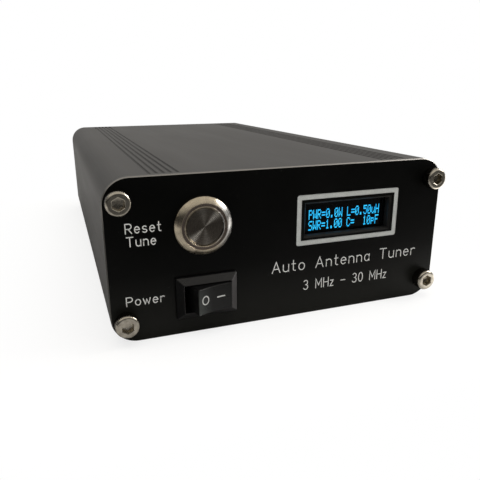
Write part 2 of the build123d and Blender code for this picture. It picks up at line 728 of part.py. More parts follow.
def socket_nuts():
    """Eight M3 nuts inside the rear plate."""
    pieces = []
    for x in (-SOCKET_X, SOCKET_X):
        for hole_x, hole_z in socket_hole_places(x):
            has_lug = (hole_x, hole_z) == lug_screw_place(x)
            seat = SHELL_REAR - (0.44 if has_lug else SEAT)
            nut = hex_prism_y(hole_x, hole_z, 5.5, seat - 2.4, seat)
            pieces.append(nut - rod_y(hole_x, hole_z, BOSS_BORE, seat - 3, seat + 1))
    return group(pieces)


def ground_lugs():
    """Solder lug under one nut of each socket."""
    pieces = []
    for x in (-SOCKET_X, SOCKET_X):
        lug_x, lug_z = lug_screw_place(x)
        tail_end = lug_x - 9.0 if x > 0 else lug_x + 9.0
        tail = rect_span(sorted((lug_x, tail_end)), (lug_z - 1.2, lug_z + 1.2))
        outline = Pos(lug_x, lug_z) * Circle(3.2) + tail - Pos(lug_x, lug_z) * Circle(M3_CLEARANCE)
        pieces.append(prism_y(outline, SHELL_REAR - 0.42, SHELL_REAR - SEAT))
    return group(pieces)


def dc_jack_body():
    """Round body with a flange outside the rear plate, open at the back wall for its contacts."""
    body = turned([
        (JACK_BORE, REAR - 9.0), (0, REAR - 9.0), (0, REAR - 11.0), (JACK_BODY, REAR - 11.0),
        (JACK_BODY, REAR + SEAT), (5.5, REAR + SEAT), (5.5, REAR + 1.5), (5.2, REAR + 1.8),
        (JACK_BORE + 0.3, REAR + 1.8), (JACK_BORE, REAR + 1.5),
    ], 0, MID_Z)
    body -= rod_y(0, MID_Z, 0.85, REAR - 12, REAR - 8)
    return body - box_span((-0.85, 0.85), (REAR - 12, REAR - 3), (MID_Z - 3.05, MID_Z - 2.6))


def dc_jack_pin():
    """Centre pin with a solder tail."""
    return turned([
        (0, REAR - 15.0), (0.8, REAR - 15.0), (0.8, REAR - 8.98), (JACK_PIN, REAR - 8.98),
        (JACK_PIN, REAR + 0.3), (JACK_PIN - 0.4, REAR + 0.8), (0, REAR + 0.8),
    ], 0, MID_Z)


def dc_jack_contact():
    """Side contact strip with a solder tail."""
    return box_span((-0.8, 0.8), (REAR - 15.0, REAR - 3.2), (MID_Z - 3.0, MID_Z - 2.75))


def dc_jack_nut():
    """Hexagon nut inside the rear plate."""
    nut = hex_prism_y(0, MID_Z, JACK_NUT_FLATS, SHELL_REAR - 2.2, SHELL_REAR - SEAT)
    return nut - rod_y(0, MID_Z, JACK_HOLE - 0.05, SHELL_REAR - 3, SHELL_REAR + 1)


# ---------------------------------------------------------------- main board

def main_board():
    """Circuit board carried in the slots of the lower case half."""
    return box_span((-BOARD_HALF, BOARD_HALF), BOARD_Y, (BOARD_BOTTOM, BOARD_TOP))


def chip(x, y, length, width, height, pins):
    """Surface-mounted chip with bent leads along both long sides."""
    floor = BOARD_TOP + SEAT
    body = box_span((x - length / 2, x + length / 2), (y - width / 2, y + width / 2), (floor + 0.2, floor + height))
    per_side = pins // 2
    for i in range(per_side):
        lead_x = x + 1.27 * (i - (per_side - 1) / 2)
        for side in (-1, 1):
            edge = y + side * (width / 2 - 0.1)
            toe = y + side * (width / 2 + 1.3)
            knee = y + side * (width / 2 + 0.5)
            lead = [(edge, floor + 1.2), (knee + side * 0.2, floor + 1.2), (knee + side * 0.2, floor + 0.2),
                    (toe, floor + 0.2), (toe, floor), (knee, floor), (knee, floor + 1.0), (edge, floor + 1.0)]
            outline = Polygon(*lead, align=None)
            plane = Plane((lead_x - 0.2, 0, 0), x_dir=(0, 1, 0), z_dir=(1, 0, 0))
            body += extrude(plane * outline, 0.4, dir=(1, 0, 0))
    return body


def microcontroller():
    """28-lead controller chip."""
    return chip(2.5, -36.0, 17.9, 7.5, 2.5, 28)


def relay_drivers():
    """Two 18-lead driver chips beside the controller."""
    return group([chip(x, -36.0, 11.5, 7.5, 2.5, 18) for x in (19.5, 33.0)])


def relay(x, y):
    """Sealed relay with rounded upright edges."""
    width, depth, height = RELAY_SIZE
    body = box_span((x - width / 2, x + width / 2), (y - depth / 2, y + depth / 2),
                    (BOARD_TOP + SEAT, BOARD_TOP + SEAT + height))
    body = fillet(body.edges().filter_by(Axis.Z), 0.6)
    return chamfer(body.faces().sort_by(Axis.Z)[-1].edges(), 0.3)


def toroid_core(x):
    """Ring core standing on edge, its axis across the case."""
    ring = Cylinder(TOROID_OUTER, 2 * TOROID_HALF) - Cylinder(TOROID_INNER, 2 * TOROID_HALF)
    ring = fillet(ring.edges().filter_by(GeomType.CIRCLE), 0.8)
    return Pos(x, INDUCTOR_Y, toroid_z()) * Rot(0, 90, 0) * ring


def toroid_z():
    """Height of the toroid axes above the underside of the case."""
    return BOARD_TOP + TOROID_OUTER + 2 * MAGNET_WIRE + 0.5


def ring_winding(outer, inner, half, turns, sweep_angle):
    """Turns of wire spaced round a ring core whose axis is Z, each turn a closed loop."""
    clear = MAGNET_WIRE + 0.1
    low, high, rise = inner - clear, outer + clear, half + clear
    corners = [(low, 0, -rise), (high, 0, -rise), (high, 0, rise), (low, 0, rise)]
    path = FilletPolyline(*corners, radius=0.8, close=True)
    turn = sweep(Plane(origin=path @ 0, z_dir=path % 0) * Circle(MAGNET_WIRE), path)
    step = sweep_angle / (turns - 1)
    return [Rot(0, 0, step * i) * turn for i in range(turns)]


def toroid_winding(x, turns):
    """Winding of the standing toroid at x."""
    turns_of_wire = ring_winding(TOROID_OUTER, TOROID_INNER, TOROID_HALF, turns, 290.0)
    place = Pos(x, INDUCTOR_Y, toroid_z()) * Rot(0, 90, 0) * Rot(0, 0, 35)
    return [place * turn for turn in turns_of_wire]


def air_coil(x, turns):
    """Small self-supporting coil lying along the case."""
    pitch = 1.25
    height = pitch * turns
    path = Helix(pitch=pitch, height=height, radius=AIR_COIL_RADIUS, center=(0, 0, 0), direction=(0, 1, 0))
    z = BOARD_TOP + AIR_COIL_RADIUS + MAGNET_WIRE + 0.4
    return Pos(x, INDUCTOR_Y - height / 2, z) * coil(path, MAGNET_WIRE)


def tuning_capacitor(x):
    """Box film capacitor, larger to the right."""
    height = 7.0 + 0.06 * (x + 40)
    body = box_span((x - 3.9, x + 3.9), (TUNING_CAPACITOR_Y - 1.6, TUNING_CAPACITOR_Y + 1.6),
                    (BOARD_TOP + SEAT, BOARD_TOP + SEAT + height))
    return fillet(body.faces().sort_by(Axis.Z)[-1].edges(), 0.4)


def coupler_core(x):
    """Small ring core round the radio-frequency lead."""
    ring = Cylinder(COUPLER_OUTER, 4.8) - Cylinder(COUPLER_INNER, 4.8)
    ring = fillet(ring.edges().filter_by(GeomType.CIRCLE), 0.7)
    return Pos(x, COUPLER_Y, MID_Z) * Rot(90, 0, 0) * ring


def coupler_winding(x):
    """Winding of a coupler core."""
    turns_of_wire = ring_winding(COUPLER_OUTER, COUPLER_INNER, TOROID_HALF, 10, 280.0)
    place = Pos(x, COUPLER_Y, MID_Z) * Rot(90, 0, 0) * Rot(0, 0, 130)
    return [place * turn for turn in turns_of_wire]


def electrolytic(x, y):
    """Upright can capacitor with a crimped waist."""
    floor = BOARD_TOP + SEAT
    outline = [(0, floor), (4.0, floor), (4.0, floor + 1.2), (3.7, floor + 1.6), (4.0, floor + 2.0),
               (4.0, floor + 11.6), (3.6, floor + 12.0), (0, floor + 12.0)]
    sketch = Plane.XZ * Polygon(*outline, align=None)
    return Pos(x, y, 0) * revolve(sketch, Axis.Z)


def voltage_regulator():
    """Three-lead regulator lying on the board, with its metal tab."""
    x = -34.0
    floor = BOARD_TOP + SEAT
    body = box_span((x - 5.1, x + 5.1), (-46.5, -37.5), (floor, floor + 4.5))
    body = chamfer(body.faces().sort_by(Axis.Z)[-1].edges(), 0.5)
    tab = box_span((x - 5.1, x + 5.1), (-49.8, -46.5), (floor, floor + 1.3))
    tab -= rod_z(x, -48.2, 1.2, floor - 1, floor + 3)
    leads = [box_span((x + d - 0.4, x + d + 0.4), (-37.5, -35.9), (floor + 1.0, floor + 1.5)) for d in (-2.54, 0, 2.54)]
    body += tab
    for lead in leads:
        body += lead
    return body


def header(x, y, across, along):
    """Upright wire-to-board connector body, with a hollow top for its wires."""
    floor = BOARD_TOP + SEAT
    body = box_span((x - across / 2, x + across / 2), (y - along / 2, y + along / 2), (floor, floor + 6.5))
    pocket = box_span(
        (x - across / 2 + 0.7, x + across / 2 - 0.7), (y - along / 2 + 0.7, y + along / 2 - 0.7),
        (floor + 1.5, floor + 7),
    )
    return body - pocket


def detector_diode(x, y):
    """Glass diode lying on the board, with its bent leads."""
    z = BOARD_TOP + 1.1
    body = fillet(rod_y(x, z, 0.95, y - 2, y + 2).edges().filter_by(GeomType.CIRCLE), 0.4)
    for side in (-1, 1):
        body += rod_y(x, z, 0.25, *sorted((y + side * 1.9, y + side * 3.6)))
    return body


# ---------------------------------------------------------------- wiring

HEADER_MOUTH = BOARD_TOP + 1.8


def rf_cable(x):
    """Lead from a socket's solder cup, through its coupler core, down to the board."""
    return bent_wire([
        (x, REAR - 14.1, MID_Z), (x, 39.0, MID_Z), (x, 39.0, BOARD_TOP + 0.1),
    ], 0.9, 2.5)


def power_wires():
    """Jack to switch, jack to board and switch to board."""
    high = 34.6
    blade_end = FRONT + ROCKER_BODY_DEPTH + 6.1
    to_switch = bent_wire([
        (0, 59.9, MID_Z), (0, 57.6, MID_Z), (0, 57.6, high), (-5.75, 50.0, high),
        (-5.75, -46.0, high), (-5.75, -46.0, 18.0), (-14.0, -52.2, 12.8),
        (ROCKER_X, -53.2, ROCKER_Z), (ROCKER_X, blade_end, ROCKER_Z),
    ], 0.65, 1.0)
    jack_return = bent_wire([
        (0, 59.4, MID_Z - 2.88), (-3.2, 58.0, MID_Z - 2.88), (-3.2, 58.0, high), (-8.0, 50.0, high),
        (-8.0, -32.5, high), (-36.4, -32.5, high), (-36.4, -32.5, HEADER_MOUTH),
    ], 0.65, 1.0)
    end_x = ROCKER_X + END_TERMINAL_X
    switched = bent_wire([
        (end_x, blade_end, ROCKER_Z), (end_x, -53.2, ROCKER_Z), (-31.0, -52.2, 14.0),
        (-33.8, -50.0, 21.0), (-33.8, -32.5, 21.0), (-33.8, -32.5, HEADER_MOUTH),
    ], 0.65, 1.0)
    return group([to_switch, jack_return, switched])


def button_wires():
    """Pushbutton terminals to the board."""
    start_y = BARREL_END + 5.1
    pieces = []
    for side, y in ((1, -44.0), (-1, -41.5)):
        x = BUTTON_X + side * 2.2
        pieces.append(bent_wire([
            (x, start_y, BUTTON_Z), (x, y, BUTTON_Z), (-12.5, y, 23.0), (-12.5, y, HEADER_MOUTH),
        ], 0.5, 1.0))
    return group(pieces)


def display_cable():
    """Four wires from the display header to the board."""
    pieces = []
    start_y = glass_front() + GLASS_SIZE[1] + DISPLAY_BOARD_SIZE[1] + 8.6
    for i, (x, z) in enumerate(display_pin_places()):
        end_x = 4.2 + PIN_PITCH * i
        pieces.append(bent_wire([
            (x, start_y, z), (x, -54.0, z), (end_x, -45.5, z), (end_x, -45.5, HEADER_MOUTH),
        ], 0.5, 1.0))
    return group(pieces)


# ---------------------------------------------------------------- all nodes

def build_nodes():
    """Every node of the tuner, by name."""
    spots = case_screw_places()
    toroid_columns = columns()[:TOROID_COUNT]
    air_columns = columns()[TOROID_COUNT:]
    toroid_turns = (18, 15, 11)
    air_turns = (8, 6, 5, 3)
    return {
        "top_shell": top_shell(),
        "bottom_shell": bottom_shell(),
        "front_panel": front_panel(),
        "rear_panel": rear_panel(),
        "front_panel_screws": group([case_screw(x, z, FRONT - SEAT, -1) for x, z in spots]),
        "rear_panel_screws": group([case_screw(x, z, REAR + SEAT, 1) for x, z in spots]),
        "button_housing": button_housing(),
        "button_seal": button_seal(),
        "button_nut": button_nut(),
        "button_cap": button_cap(),
        "button_plunger": button_plunger(),
        "button_spring": button_spring(),
        "button_moving_contact": button_moving_contact(),
        "button_base": button_base(),
        "button_terminals": button_terminals(),
        "rocker_housing": rocker_housing(),
        "rocker_paddle": rocker_paddle(),
        "rocker_plunger": rocker_plunger(),
        "rocker_spring": rocker_spring(),
        "rocker_contact_bar": rocker_contact_bar(),
        "rocker_pivot_terminal": rocker_pivot_terminal(),
        "rocker_end_terminal": rocker_end_terminal(),
        "display_glass": display_glass(),
        "display_gasket": display_gasket(),
        "display_board": display_board(),
        "display_header": display_header(),
        "display_flex": display_flex(),
        "antenna_socket_shell": socket_shell(-SOCKET_X),
        "antenna_socket_insulator": socket_insulator(-SOCKET_X),
        "antenna_socket_contact": socket_contact(-SOCKET_X),
        "radio_socket_shell": socket_shell(SOCKET_X),
        "radio_socket_insulator": socket_insulator(SOCKET_X),
        "radio_socket_contact": socket_contact(SOCKET_X),
        "socket_screws": socket_screws(),
        "socket_nuts": socket_nuts(),
        "ground_lugs": ground_lugs(),
        "dc_jack_body": dc_jack_body(),
        "dc_jack_pin": dc_jack_pin(),
        "dc_jack_contact": dc_jack_contact(),
        "dc_jack_nut": dc_jack_nut(),
        "main_board": main_board(),
        "microcontroller": microcontroller(),
        "relay_drivers": relay_drivers(),
        "voltage_regulator": voltage_regulator(),
        "inductor_relays": group([relay(x, INDUCTOR_RELAY_Y) for x in columns()]),
        "capacitor_relays": group([relay(x, CAPACITOR_RELAY_Y) for x in columns()]),
        "network_relay": relay(0, 46.0),
        "toroid_cores": group([toroid_core(x) for x in toroid_columns]),
        "toroid_windings": group([
            turn for x, count in zip(toroid_columns, toroid_turns) for turn in toroid_winding(x, count)
        ]),
        "air_coils": group([air_coil(x, n) for x, n in zip(air_columns, air_turns)]),
        "tuning_capacitors": group([tuning_capacitor(x) for x in columns()]),
        "coupler_cores": group([coupler_core(x) for x in (-SOCKET_X, SOCKET_X)]),
        "coupler_windings": group([turn for x in (-SOCKET_X, SOCKET_X) for turn in coupler_winding(x)]),
        "electrolytic_capacitors": group([electrolytic(-24.0, -36.0), electrolytic(-14.5, -33.5)]),
        "detector_diodes": group([detector_diode(x, 48.0) for x in (-10.5, 10.5)]),
        "board_headers": group([
            header(-35.1, -32.5, 6.6, 3.6), header(-12.5, -42.75, 3.6, 6.0), header(8.0, -45.5, 12.0, 3.6),
        ]),
        "rf_cables": group([rf_cable(x) for x in (-SOCKET_X, SOCKET_X)]),
        "power_wires": power_wires(),
        "button_wires": button_wires(),
        "display_cable": display_cable(),
    }


os.makedirs("parts", exist_ok=True)
for node_name, shape in build_nodes().items():
    export_step(shape, "parts/" + node_name + ".step")
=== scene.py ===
import json
from math import cos, hypot, pi, radians, sin

import bmesh
import bpy
from mathutils import Matrix, Vector


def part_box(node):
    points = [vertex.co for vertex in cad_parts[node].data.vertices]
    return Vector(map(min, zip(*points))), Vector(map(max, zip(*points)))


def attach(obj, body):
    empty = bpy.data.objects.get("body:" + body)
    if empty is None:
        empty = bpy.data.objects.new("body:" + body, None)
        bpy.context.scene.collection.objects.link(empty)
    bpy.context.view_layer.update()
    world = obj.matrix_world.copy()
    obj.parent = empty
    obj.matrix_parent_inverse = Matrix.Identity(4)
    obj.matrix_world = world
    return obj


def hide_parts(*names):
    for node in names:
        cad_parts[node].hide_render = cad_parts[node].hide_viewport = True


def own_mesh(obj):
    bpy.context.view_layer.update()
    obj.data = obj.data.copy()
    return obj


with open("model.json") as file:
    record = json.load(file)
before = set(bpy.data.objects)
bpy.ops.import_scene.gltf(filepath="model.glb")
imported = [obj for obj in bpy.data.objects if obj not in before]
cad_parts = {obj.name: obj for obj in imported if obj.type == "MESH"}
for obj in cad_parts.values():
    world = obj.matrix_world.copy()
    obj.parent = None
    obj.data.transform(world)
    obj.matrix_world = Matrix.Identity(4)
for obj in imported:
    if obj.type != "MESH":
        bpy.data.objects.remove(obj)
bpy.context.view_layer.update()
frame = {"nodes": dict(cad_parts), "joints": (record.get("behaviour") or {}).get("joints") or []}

# Lengths below are in millimetres, except where a comment says metres
MM = 0.001

# Camera, fitted to the photograph's viewing angle; its place is in metres
CAMERA_PLACE = (-0.05125, -0.18168, 0.05633)
CAMERA_PITCH = -0.2953
CAMERA_TURN = -0.3451
CAMERA_ROLL = 0.0061
LENS = 37.6
SENSOR = 36.0
CLIP_START = 0.005

# Case screws, M3 with a socket head
HEAD_RADIUS = 2.75
HEAD_HEIGHT = 3.0
SOCKET_FLAT = 1.25
SOCKET_DEPTH = 1.6
KNURLS = 40
KNURL_DEPTH = 0.07
KNURLS_FROM = 2.2
SCREW_LENGTH = 8.0
SHANK_RADIUS = 1.45
M3_PITCH = 0.5
M3_THREAD_DEPTH = 0.28
SCREW_COLOUR = (0.66, 0.61, 0.52)

# Pushbutton: painted highlight wedges of the spun cap as angle in degrees, narrowness and strength; flat
# ring painted dark as shade
CAP_PAINTED_WEDGES = ((43.0, 26.0, 1.0), (96.0, 14.0, 0.22))
CAP_METAL = (0.95, 0.90, 0.82)
FLAT_RING = (4.70, 5.37)
FLANGE_PROUD = 2.0
BARREL_RADIUS = 5.95
BARREL_THREAD = (0.32, 0.75)
SPRING_RADIUS = 4.2
SPRING_WIRE = 0.22
SPRING_TURNS = 7.0

# Rocker switch: half width, tip height, hollow and half depth of the paddle, and its resting tilt
PADDLE_HALF = 4.5
PADDLE_TIP = 4.8
PADDLE_HOLLOW = 0.45
PADDLE_WIDE = 3.2
PADDLE_BACK = 1.2
PADDLE_EDGE = 0.28
TILT = radians(15.0)
ROCKER_BLACK = (0.0030, 0.0031, 0.0033)
BEZEL_PROUD = 2.0

# Marks on the paddle: ring centre, half width and half height, bar from and to, height and line width
RING_CENTRE = -2.6
RING_HALF = (0.98, 1.12)
BAR_SPAN = (0.6, 2.7)
MARK_HEIGHT = 0.25
RING_LINE = 0.25
BAR_HALF = 0.15
MARK_RISE = (-0.02, 0.012)

# Plates: groove of the display frame, cut edge, and how far the dull window edge reaches
GROOVE_DEPTH = 0.1
GROOVE_MARGIN = 0.03
EDGE_METAL = (0.30, 0.29, 0.275)
WINDOW_MARGIN = 1.5

# Engraved lettering
STROKE_WIDTH = 0.22
STROKE_PROUD = 0.015
LETTER_GAP = 0.30
END_ANGLES = (0.25, 0.7, 1.15)

# Display read-out
DOT_WIDTH = 0.2098
DOT_HEIGHT = 0.352
DOT_GAP = 0.012
DOT_BEVEL = 0.02
DOT_DEPTH = 0.015
CHARACTER_PITCH = 1.224
LINE_PITCH = 2.85
READ_OUT_LEFT = 6.3
READ_OUT_TOP = 7.62

# Coaxial sockets
SOCKET_RADIUS = 7.94
SOCKET_BORE = 6.35
SOCKET_PITCH = 1.058
SOCKET_THREAD_DEPTH = 0.55
FLANGE_HALF = 12.7
FLANGE_THICK = 2.4
FLANGE_HOLES = 9.13
COLLAR_RADIUS = 7.25

# Wire wound round the ring cores
WIRE_RADIUS = 0.33
WIRE_CLEARANCE = 0.46
CORE_PITCH = 11.5

# Floor brightness that reflections see: near the case, and out to each side of its front
REFLECTED_NEAR = 0.38
REFLECTED_RIGHT = 1.3
REFLECTED_LEFT = 0.42
REFLECTED_LEAST = 0.06
FLOOR_PALE = (0.86, 0.86, 0.855)

# Half size of the case on the floor, in metres
FOOTPRINT = (0.044, 0.075, 0.0)

# Metals: name, colour, smoothest and roughest, CAD nodes
METALS = (
    ("nickel_plate", (0.70, 0.68, 0.63), 0.15, 0.30, "button_nut dc_jack_nut dc_jack_pin rocker_plunger"),
    ("zinc_plate", (0.66, 0.67, 0.68), 0.25, 0.40,
     "socket_nuts ground_lugs rocker_pivot_terminal rocker_end_terminal dc_jack_contact"),
    ("gold_plate", (0.85, 0.62, 0.25), 0.19, 0.34, "button_moving_contact button_terminals"),
    ("enamelled_copper", (0.72, 0.28, 0.12), 0.21, 0.36, "air_coils rocker_contact_bar"),
    ("spring_steel", (0.55, 0.55, 0.53), 0.23, 0.38, "rocker_spring"),
    ("header_pins", (0.85, 0.62, 0.25), 0.25, 0.40, "display_header"),
)

# Moulded and coated pieces: name, colour, roughness, specular level, CAD nodes
PLASTICS = (
    ("rubber", (0.012, 0.012, 0.012), 0.75, 0.3, "button_seal display_gasket"),
    ("black_plastic", (0.010, 0.010, 0.010), 0.42, 0.5, "dc_jack_body button_plunger button_base"),
    ("white_plastic", (0.78, 0.77, 0.72), 0.45, 0.5, "board_headers"),
    ("amber_film", (0.45, 0.18, 0.02), 0.3, 0.5, "display_flex"),
    ("chip_epoxy", (0.018, 0.018, 0.018), 0.6, 0.35, "microcontroller relay_drivers voltage_regulator"),
    ("relay_case", (0.02, 0.02, 0.022), 0.4, 0.5, "inductor_relays capacitor_relays network_relay"),
    ("iron_powder", (0.50, 0.03, 0.02), 0.5, 0.5, "toroid_cores"),
    ("ferrite", (0.05, 0.05, 0.05), 0.55, 0.5, "coupler_cores"),
    ("film_capacitor", (0.45, 0.05, 0.03), 0.35, 0.5, "tuning_capacitors"),
    ("capacitor_sleeve", (0.015, 0.03, 0.10), 0.35, 0.5, "electrolytic_capacitors"),
    ("diode_bead", (0.70, 0.20, 0.05), 0.2, 0.5, "detector_diodes"),
    ("coaxial_lead", (0.02, 0.02, 0.02), 0.4, 0.5, "rf_cables"),
    ("printed_marks", (0.46, 0.47, 0.46), 0.5, 0.5, ""),
)


# --- shader nodes

SURFACE_INPUTS = {
    "colour": "Base Color", "metallic": "Metallic", "roughness": "Roughness",
    "specular": "Specular IOR Level", "anisotropic": "Anisotropic", "turn": "Anisotropic Rotation",
    "tangent": "Tangent", "normal": "Normal", "glow": "Emission Color", "glow_strength": "Emission Strength",
}


class Value:
    """Output of a shader node; arithmetic on it adds further nodes."""

    def __init__(self, look, socket):
        self.look = look
        self.socket = socket

    def sibling(self, name):
        """Another output of the same node."""
        return Value(self.look, self.socket.node.outputs[name])

    def math(self, operation, other=0.0):
        return self.look.node("Math", {0: self, 1: other}, operation=operation)

    def __add__(self, other):
        return self.math("ADD", other)

    def __mul__(self, other):
        return self.math("MULTIPLY", other)

    def __gt__(self, other):
        return self.math("GREATER_THAN", other)

    def __lt__(self, other):
        return self.math("LESS_THAN", other)

    def __abs__(self):
        return self.math("ABSOLUTE")

    def raised(self, power):
        return self.math("POWER", power)

    def or_more(self, least):
        """The larger of two values."""
        return self.math("MAXIMUM", least)

    def spread(self, low=0.0, high=1.0, start=0.3, end=0.7):
        """Maps start..end to low..high, and stops there; the defaults suit a noise."""
        return self.look.node("MapRange", {
            "Value": self, "From Min": start, "From Max": end, "To Min": low, "To Max": high,
        }, "Result")


class Look:
    """Node tree of a material or of the world, with short calls for its detail nodes."""

    def __init__(self, owner):
        owner.use_nodes = True
        self.owner = owner
        self.tree = owner.node_tree

    def feed(self, socket, value):
        """Links or sets one input; a colour is given without its alpha."""
        if isinstance(value, Value):
            self.tree.links.new(value.socket, socket)
        elif socket.type == "RGBA":
            socket.default_value = (*value, 1.0)
        else:
            socket.default_value = value

    def node(self, kind, inputs, output=0, **settings):
        """Adds a node and returns one of its outputs."""
        made = self.tree.nodes.new("ShaderNode" + kind)
        for key, value in settings.items():
            setattr(made, key, value)
        for key, value in inputs.items():
            self.feed(made.inputs[key], value)
        return Value(self, made.outputs[output])

    def surface(self, **inputs):
        """Sets or links inputs of the principled shader."""
        shader = self.tree.nodes["Principled BSDF"]
        for name, value in inputs.items():
            self.feed(shader.inputs[SURFACE_INPUTS[name]], value)

    def vector(self, operation, first, second=(0.0, 0.0, 0.0), output=0):
        """Vector math; length and dot product are in the output named Value."""
        return self.node("VectorMath", {0: first, 1: second}, output, operation=operation)

    def part(self, vector, axis):
        """One component of a vector."""
        return self.node("SeparateXYZ", {0: vector}, axis)

    def place(self, axis=None):
        """Position in the row frame in metres, or one of its components."""
        coords = self.node("TexCoord", {}, "Object")
        return self.part(coords, axis) if axis else coords

    def normal(self, axis):
        """One component of the direction that the surface faces."""
        return self.part(self.node("NewGeometry", {}, "True Normal"), axis)

    def stretched(self, scale):
        """Position scaled alike along all axes, or by a scale for each."""
        scale = scale if isinstance(scale, tuple) else (scale, scale, scale)
        return self.node("Mapping", {"Vector": self.place(), "Scale": scale})

    def noise(self, scale, detail=3.0, roughness=0.55):
        """Noise with the given number of features per metre."""
        return self.node("TexNoise", {
            "Vector": self.stretched(scale), "Scale": 1.0, "Detail": detail, "Roughness": roughness,
        }, "Fac")

    def mix(self, factor, first, second):
        """Blends two colours."""
        return self.node("Mix", {0: factor, 6: first, 7: second}, 2, data_type="RGBA")

    def bump(self, height, depth, strength, edge=0.0):
        """Relief of the given depth; edge is the radius that softens sharp edges."""
        inputs = {"Height": height, "Distance": depth * MM, "Strength": strength}
        if edge:
            inputs["Normal"] = self.node("Bevel", {"Radius": edge * MM}, samples=6)
        self.surface(normal=self.node("Bump", inputs))


def principled(name, colour, metallic, roughness, specular=0.5):
    """New material with its plain values set."""
    look = Look(bpy.data.materials.new(name))
    look.surface(colour=colour, metallic=metallic, roughness=roughness, specular=specular)
    return look


def shade(colour, amount):
    """Colour darkened to an amount of itself."""
    return tuple(amount * c for c in colour)


# --- finishes

def anodised_shell():
    """Black anodised extrusion: fine lengthwise die lines, satin sheen, faint dust."""
    colour = (0.0135, 0.0122, 0.0115)
    look = principled("anodised_shell", colour, 0.0, 0.42, 0.42)
    lines = look.noise((3600.0, 18.0, 3600.0), 3.0, 0.6)
    broad = look.noise((60.0, 12.0, 60.0), 2.0)
    speck = look.noise(2600.0, 2.0).spread(0.0, 1.0, 0.74, 0.8)
    streaked = look.mix(lines.spread(), colour, (0.0185, 0.0168, 0.0155))
    look.surface(
        colour=look.mix(speck * 0.2, streaked, (0.25, 0.24, 0.22)),
        roughness=broad.spread(0.37, 0.43) + lines.spread(-0.015, 0.015),
    )
    look.bump(lines, 0.0012, 0.3, 0.3)
    return look


def anodised_plate(name, grooved=False):
    """Black plate: bead-blasted face with a painted reflection that makes it paler near the floor, and sides
    drawn like the case.

    Its diamond-cut outer edge is bare metal, brightened along the top only by a painted highlight; the edge
    round the display stays dull.
    The floor of the shallow frame groove is bare, lightly milled metal.
    """
    black = (0.0010, 0.0012, 0.0010)
    look = principled(name, black, 0.0, 0.5, 0.3)
    grain = look.noise(7000.0, 3.0, 0.7)
    cloud = look.noise(45.0, 2.0)
    speck = look.noise(1900.0, 1.0).spread(0.0, 1.0, 0.78, 0.82)
    height = look.place("Z")
    facing = abs(look.normal("Y"))
    side = facing < 0.3
    black = look.mix(cloud.spread(), black, (0.0019, 0.0020, 0.0019))
    black = look.mix(speck * 0.2, black, (0.12, 0.115, 0.11))
    # Painted reflection: paler towards the floor
    black = look.mix(height.spread(1.0, 0.0, 0.0, 16.0 * MM), black, (0.0115, 0.0117, 0.0102))
    black = look.mix(side, black, (0.0160, 0.0145, 0.0135))
    low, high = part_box("display_glass")
    span = (high - low) / 2 + Vector((WINDOW_MARGIN * MM, 1.0, WINDOW_MARGIN * MM))
    share = look.vector("DIVIDE", look.vector("SUBTRACT", look.place(), (low + high) / 2), span)
    share = look.vector("ABSOLUTE", share)
    outer = look.part(share, "X").or_more(look.part(share, "Z")) > 1.0
    cut = (facing > 0.3) * (facing < 0.95) * outer.spread(0.12, 1.0, 0.0, 1.0)
    # Painted highlight: the cut edge stays bright only along the top
    cut = cut * height.spread(0.2, 1.0, 27.0 * MM, 33.0 * MM)
    black = look.mix(cut, black, EDGE_METAL)
    rough = cloud.spread(0.34, 0.40) + grain.spread(-0.04, 0.04)
    if grooved:
        floor = box("front_panel")[0].y + GROOVE_DEPTH
        depth = look.place("Y")
        level = (depth > (floor - GROOVE_MARGIN) * MM) * (depth < (floor + GROOVE_MARGIN) * MM)
        groove = level * (facing > 0.95)
        milled = look.noise((3000.0, 3000.0, 9000.0), 2.0, 0.6)
        silver = look.mix(milled.spread(), (0.36, 0.375, 0.37), (0.48, 0.50, 0.495))
        black = look.mix(groove, black, silver)
        rough = groove * 0.1 + rough
    look.surface(colour=black, roughness=rough, metallic=cut * 0.9)
    look.surface(specular=side.spread(0.12, 0.42, 0.0, 1.0))
    look.bump(grain, 0.003, 0.4)
    return look


def engraving_paint():
    """Light grey engraved strokes, slightly uneven."""
    look = principled("engraved_strokes", (0.65, 0.66, 0.66), 0.0, 0.62, 0.3)
    mottle = look.noise(5000.0)
    look.surface(colour=look.mix(mottle.spread(), (0.55, 0.56, 0.555), (0.76, 0.77, 0.765)))
    look.bump(mottle, 0.004, 0.6)
    return look


def turned_metal(name, colour, painted_right_tint, dark, roughness, anisotropic, ring_depth, painted_light):
    """Metal turned round the pushbutton's axis: concentric tool lines, and a painted reflection that makes
    it cooler towards the right.

    The function given last paints light and shade: from the direction and distance off the axis, it gives
    how far the finish goes from the painted shade colour to its colour.
    """
    look = principled(name, colour, 1.0, roughness)
    away = look.vector("SUBTRACT", look.place(), centre("button_housing") * MM)
    away = look.vector("MULTIPLY", away, (1.0, 0.0, 1.0))
    radius = look.vector("LENGTH", away, output="Value")
    direction = look.vector("NORMALIZE", away)
    rings = look.node("TexNoise", {
        "W": radius * 9000.0, "Scale": 1.0, "Detail": 3.0,
    }, "Fac", noise_dimensions="1D")
    smudge = look.noise(420.0)
    tint = look.mix(smudge.spread(), colour, shade(colour, 0.82))
    # Painted reflection: the finish turns cooler towards the right
    tint = look.mix(look.part(direction, "X").spread(0.0, 1.0, 0.45, 0.9), tint, painted_right_tint)
    # Painted light and shade: the mask blends from the painted shade colour to the tint
    look.surface(
        colour=look.mix(painted_light(look, direction, radius), dark, tint),
        roughness=rings.spread(roughness - 0.05, roughness + 0.05) + smudge.spread(-0.03, 0.05),
        anisotropic=anisotropic,
        turn=0.25,
        tangent=look.node("Tangent", {}, direction_type="RADIAL", axis="Y"),
    )
    look.bump(rings, ring_depth, 0.6)
    return look


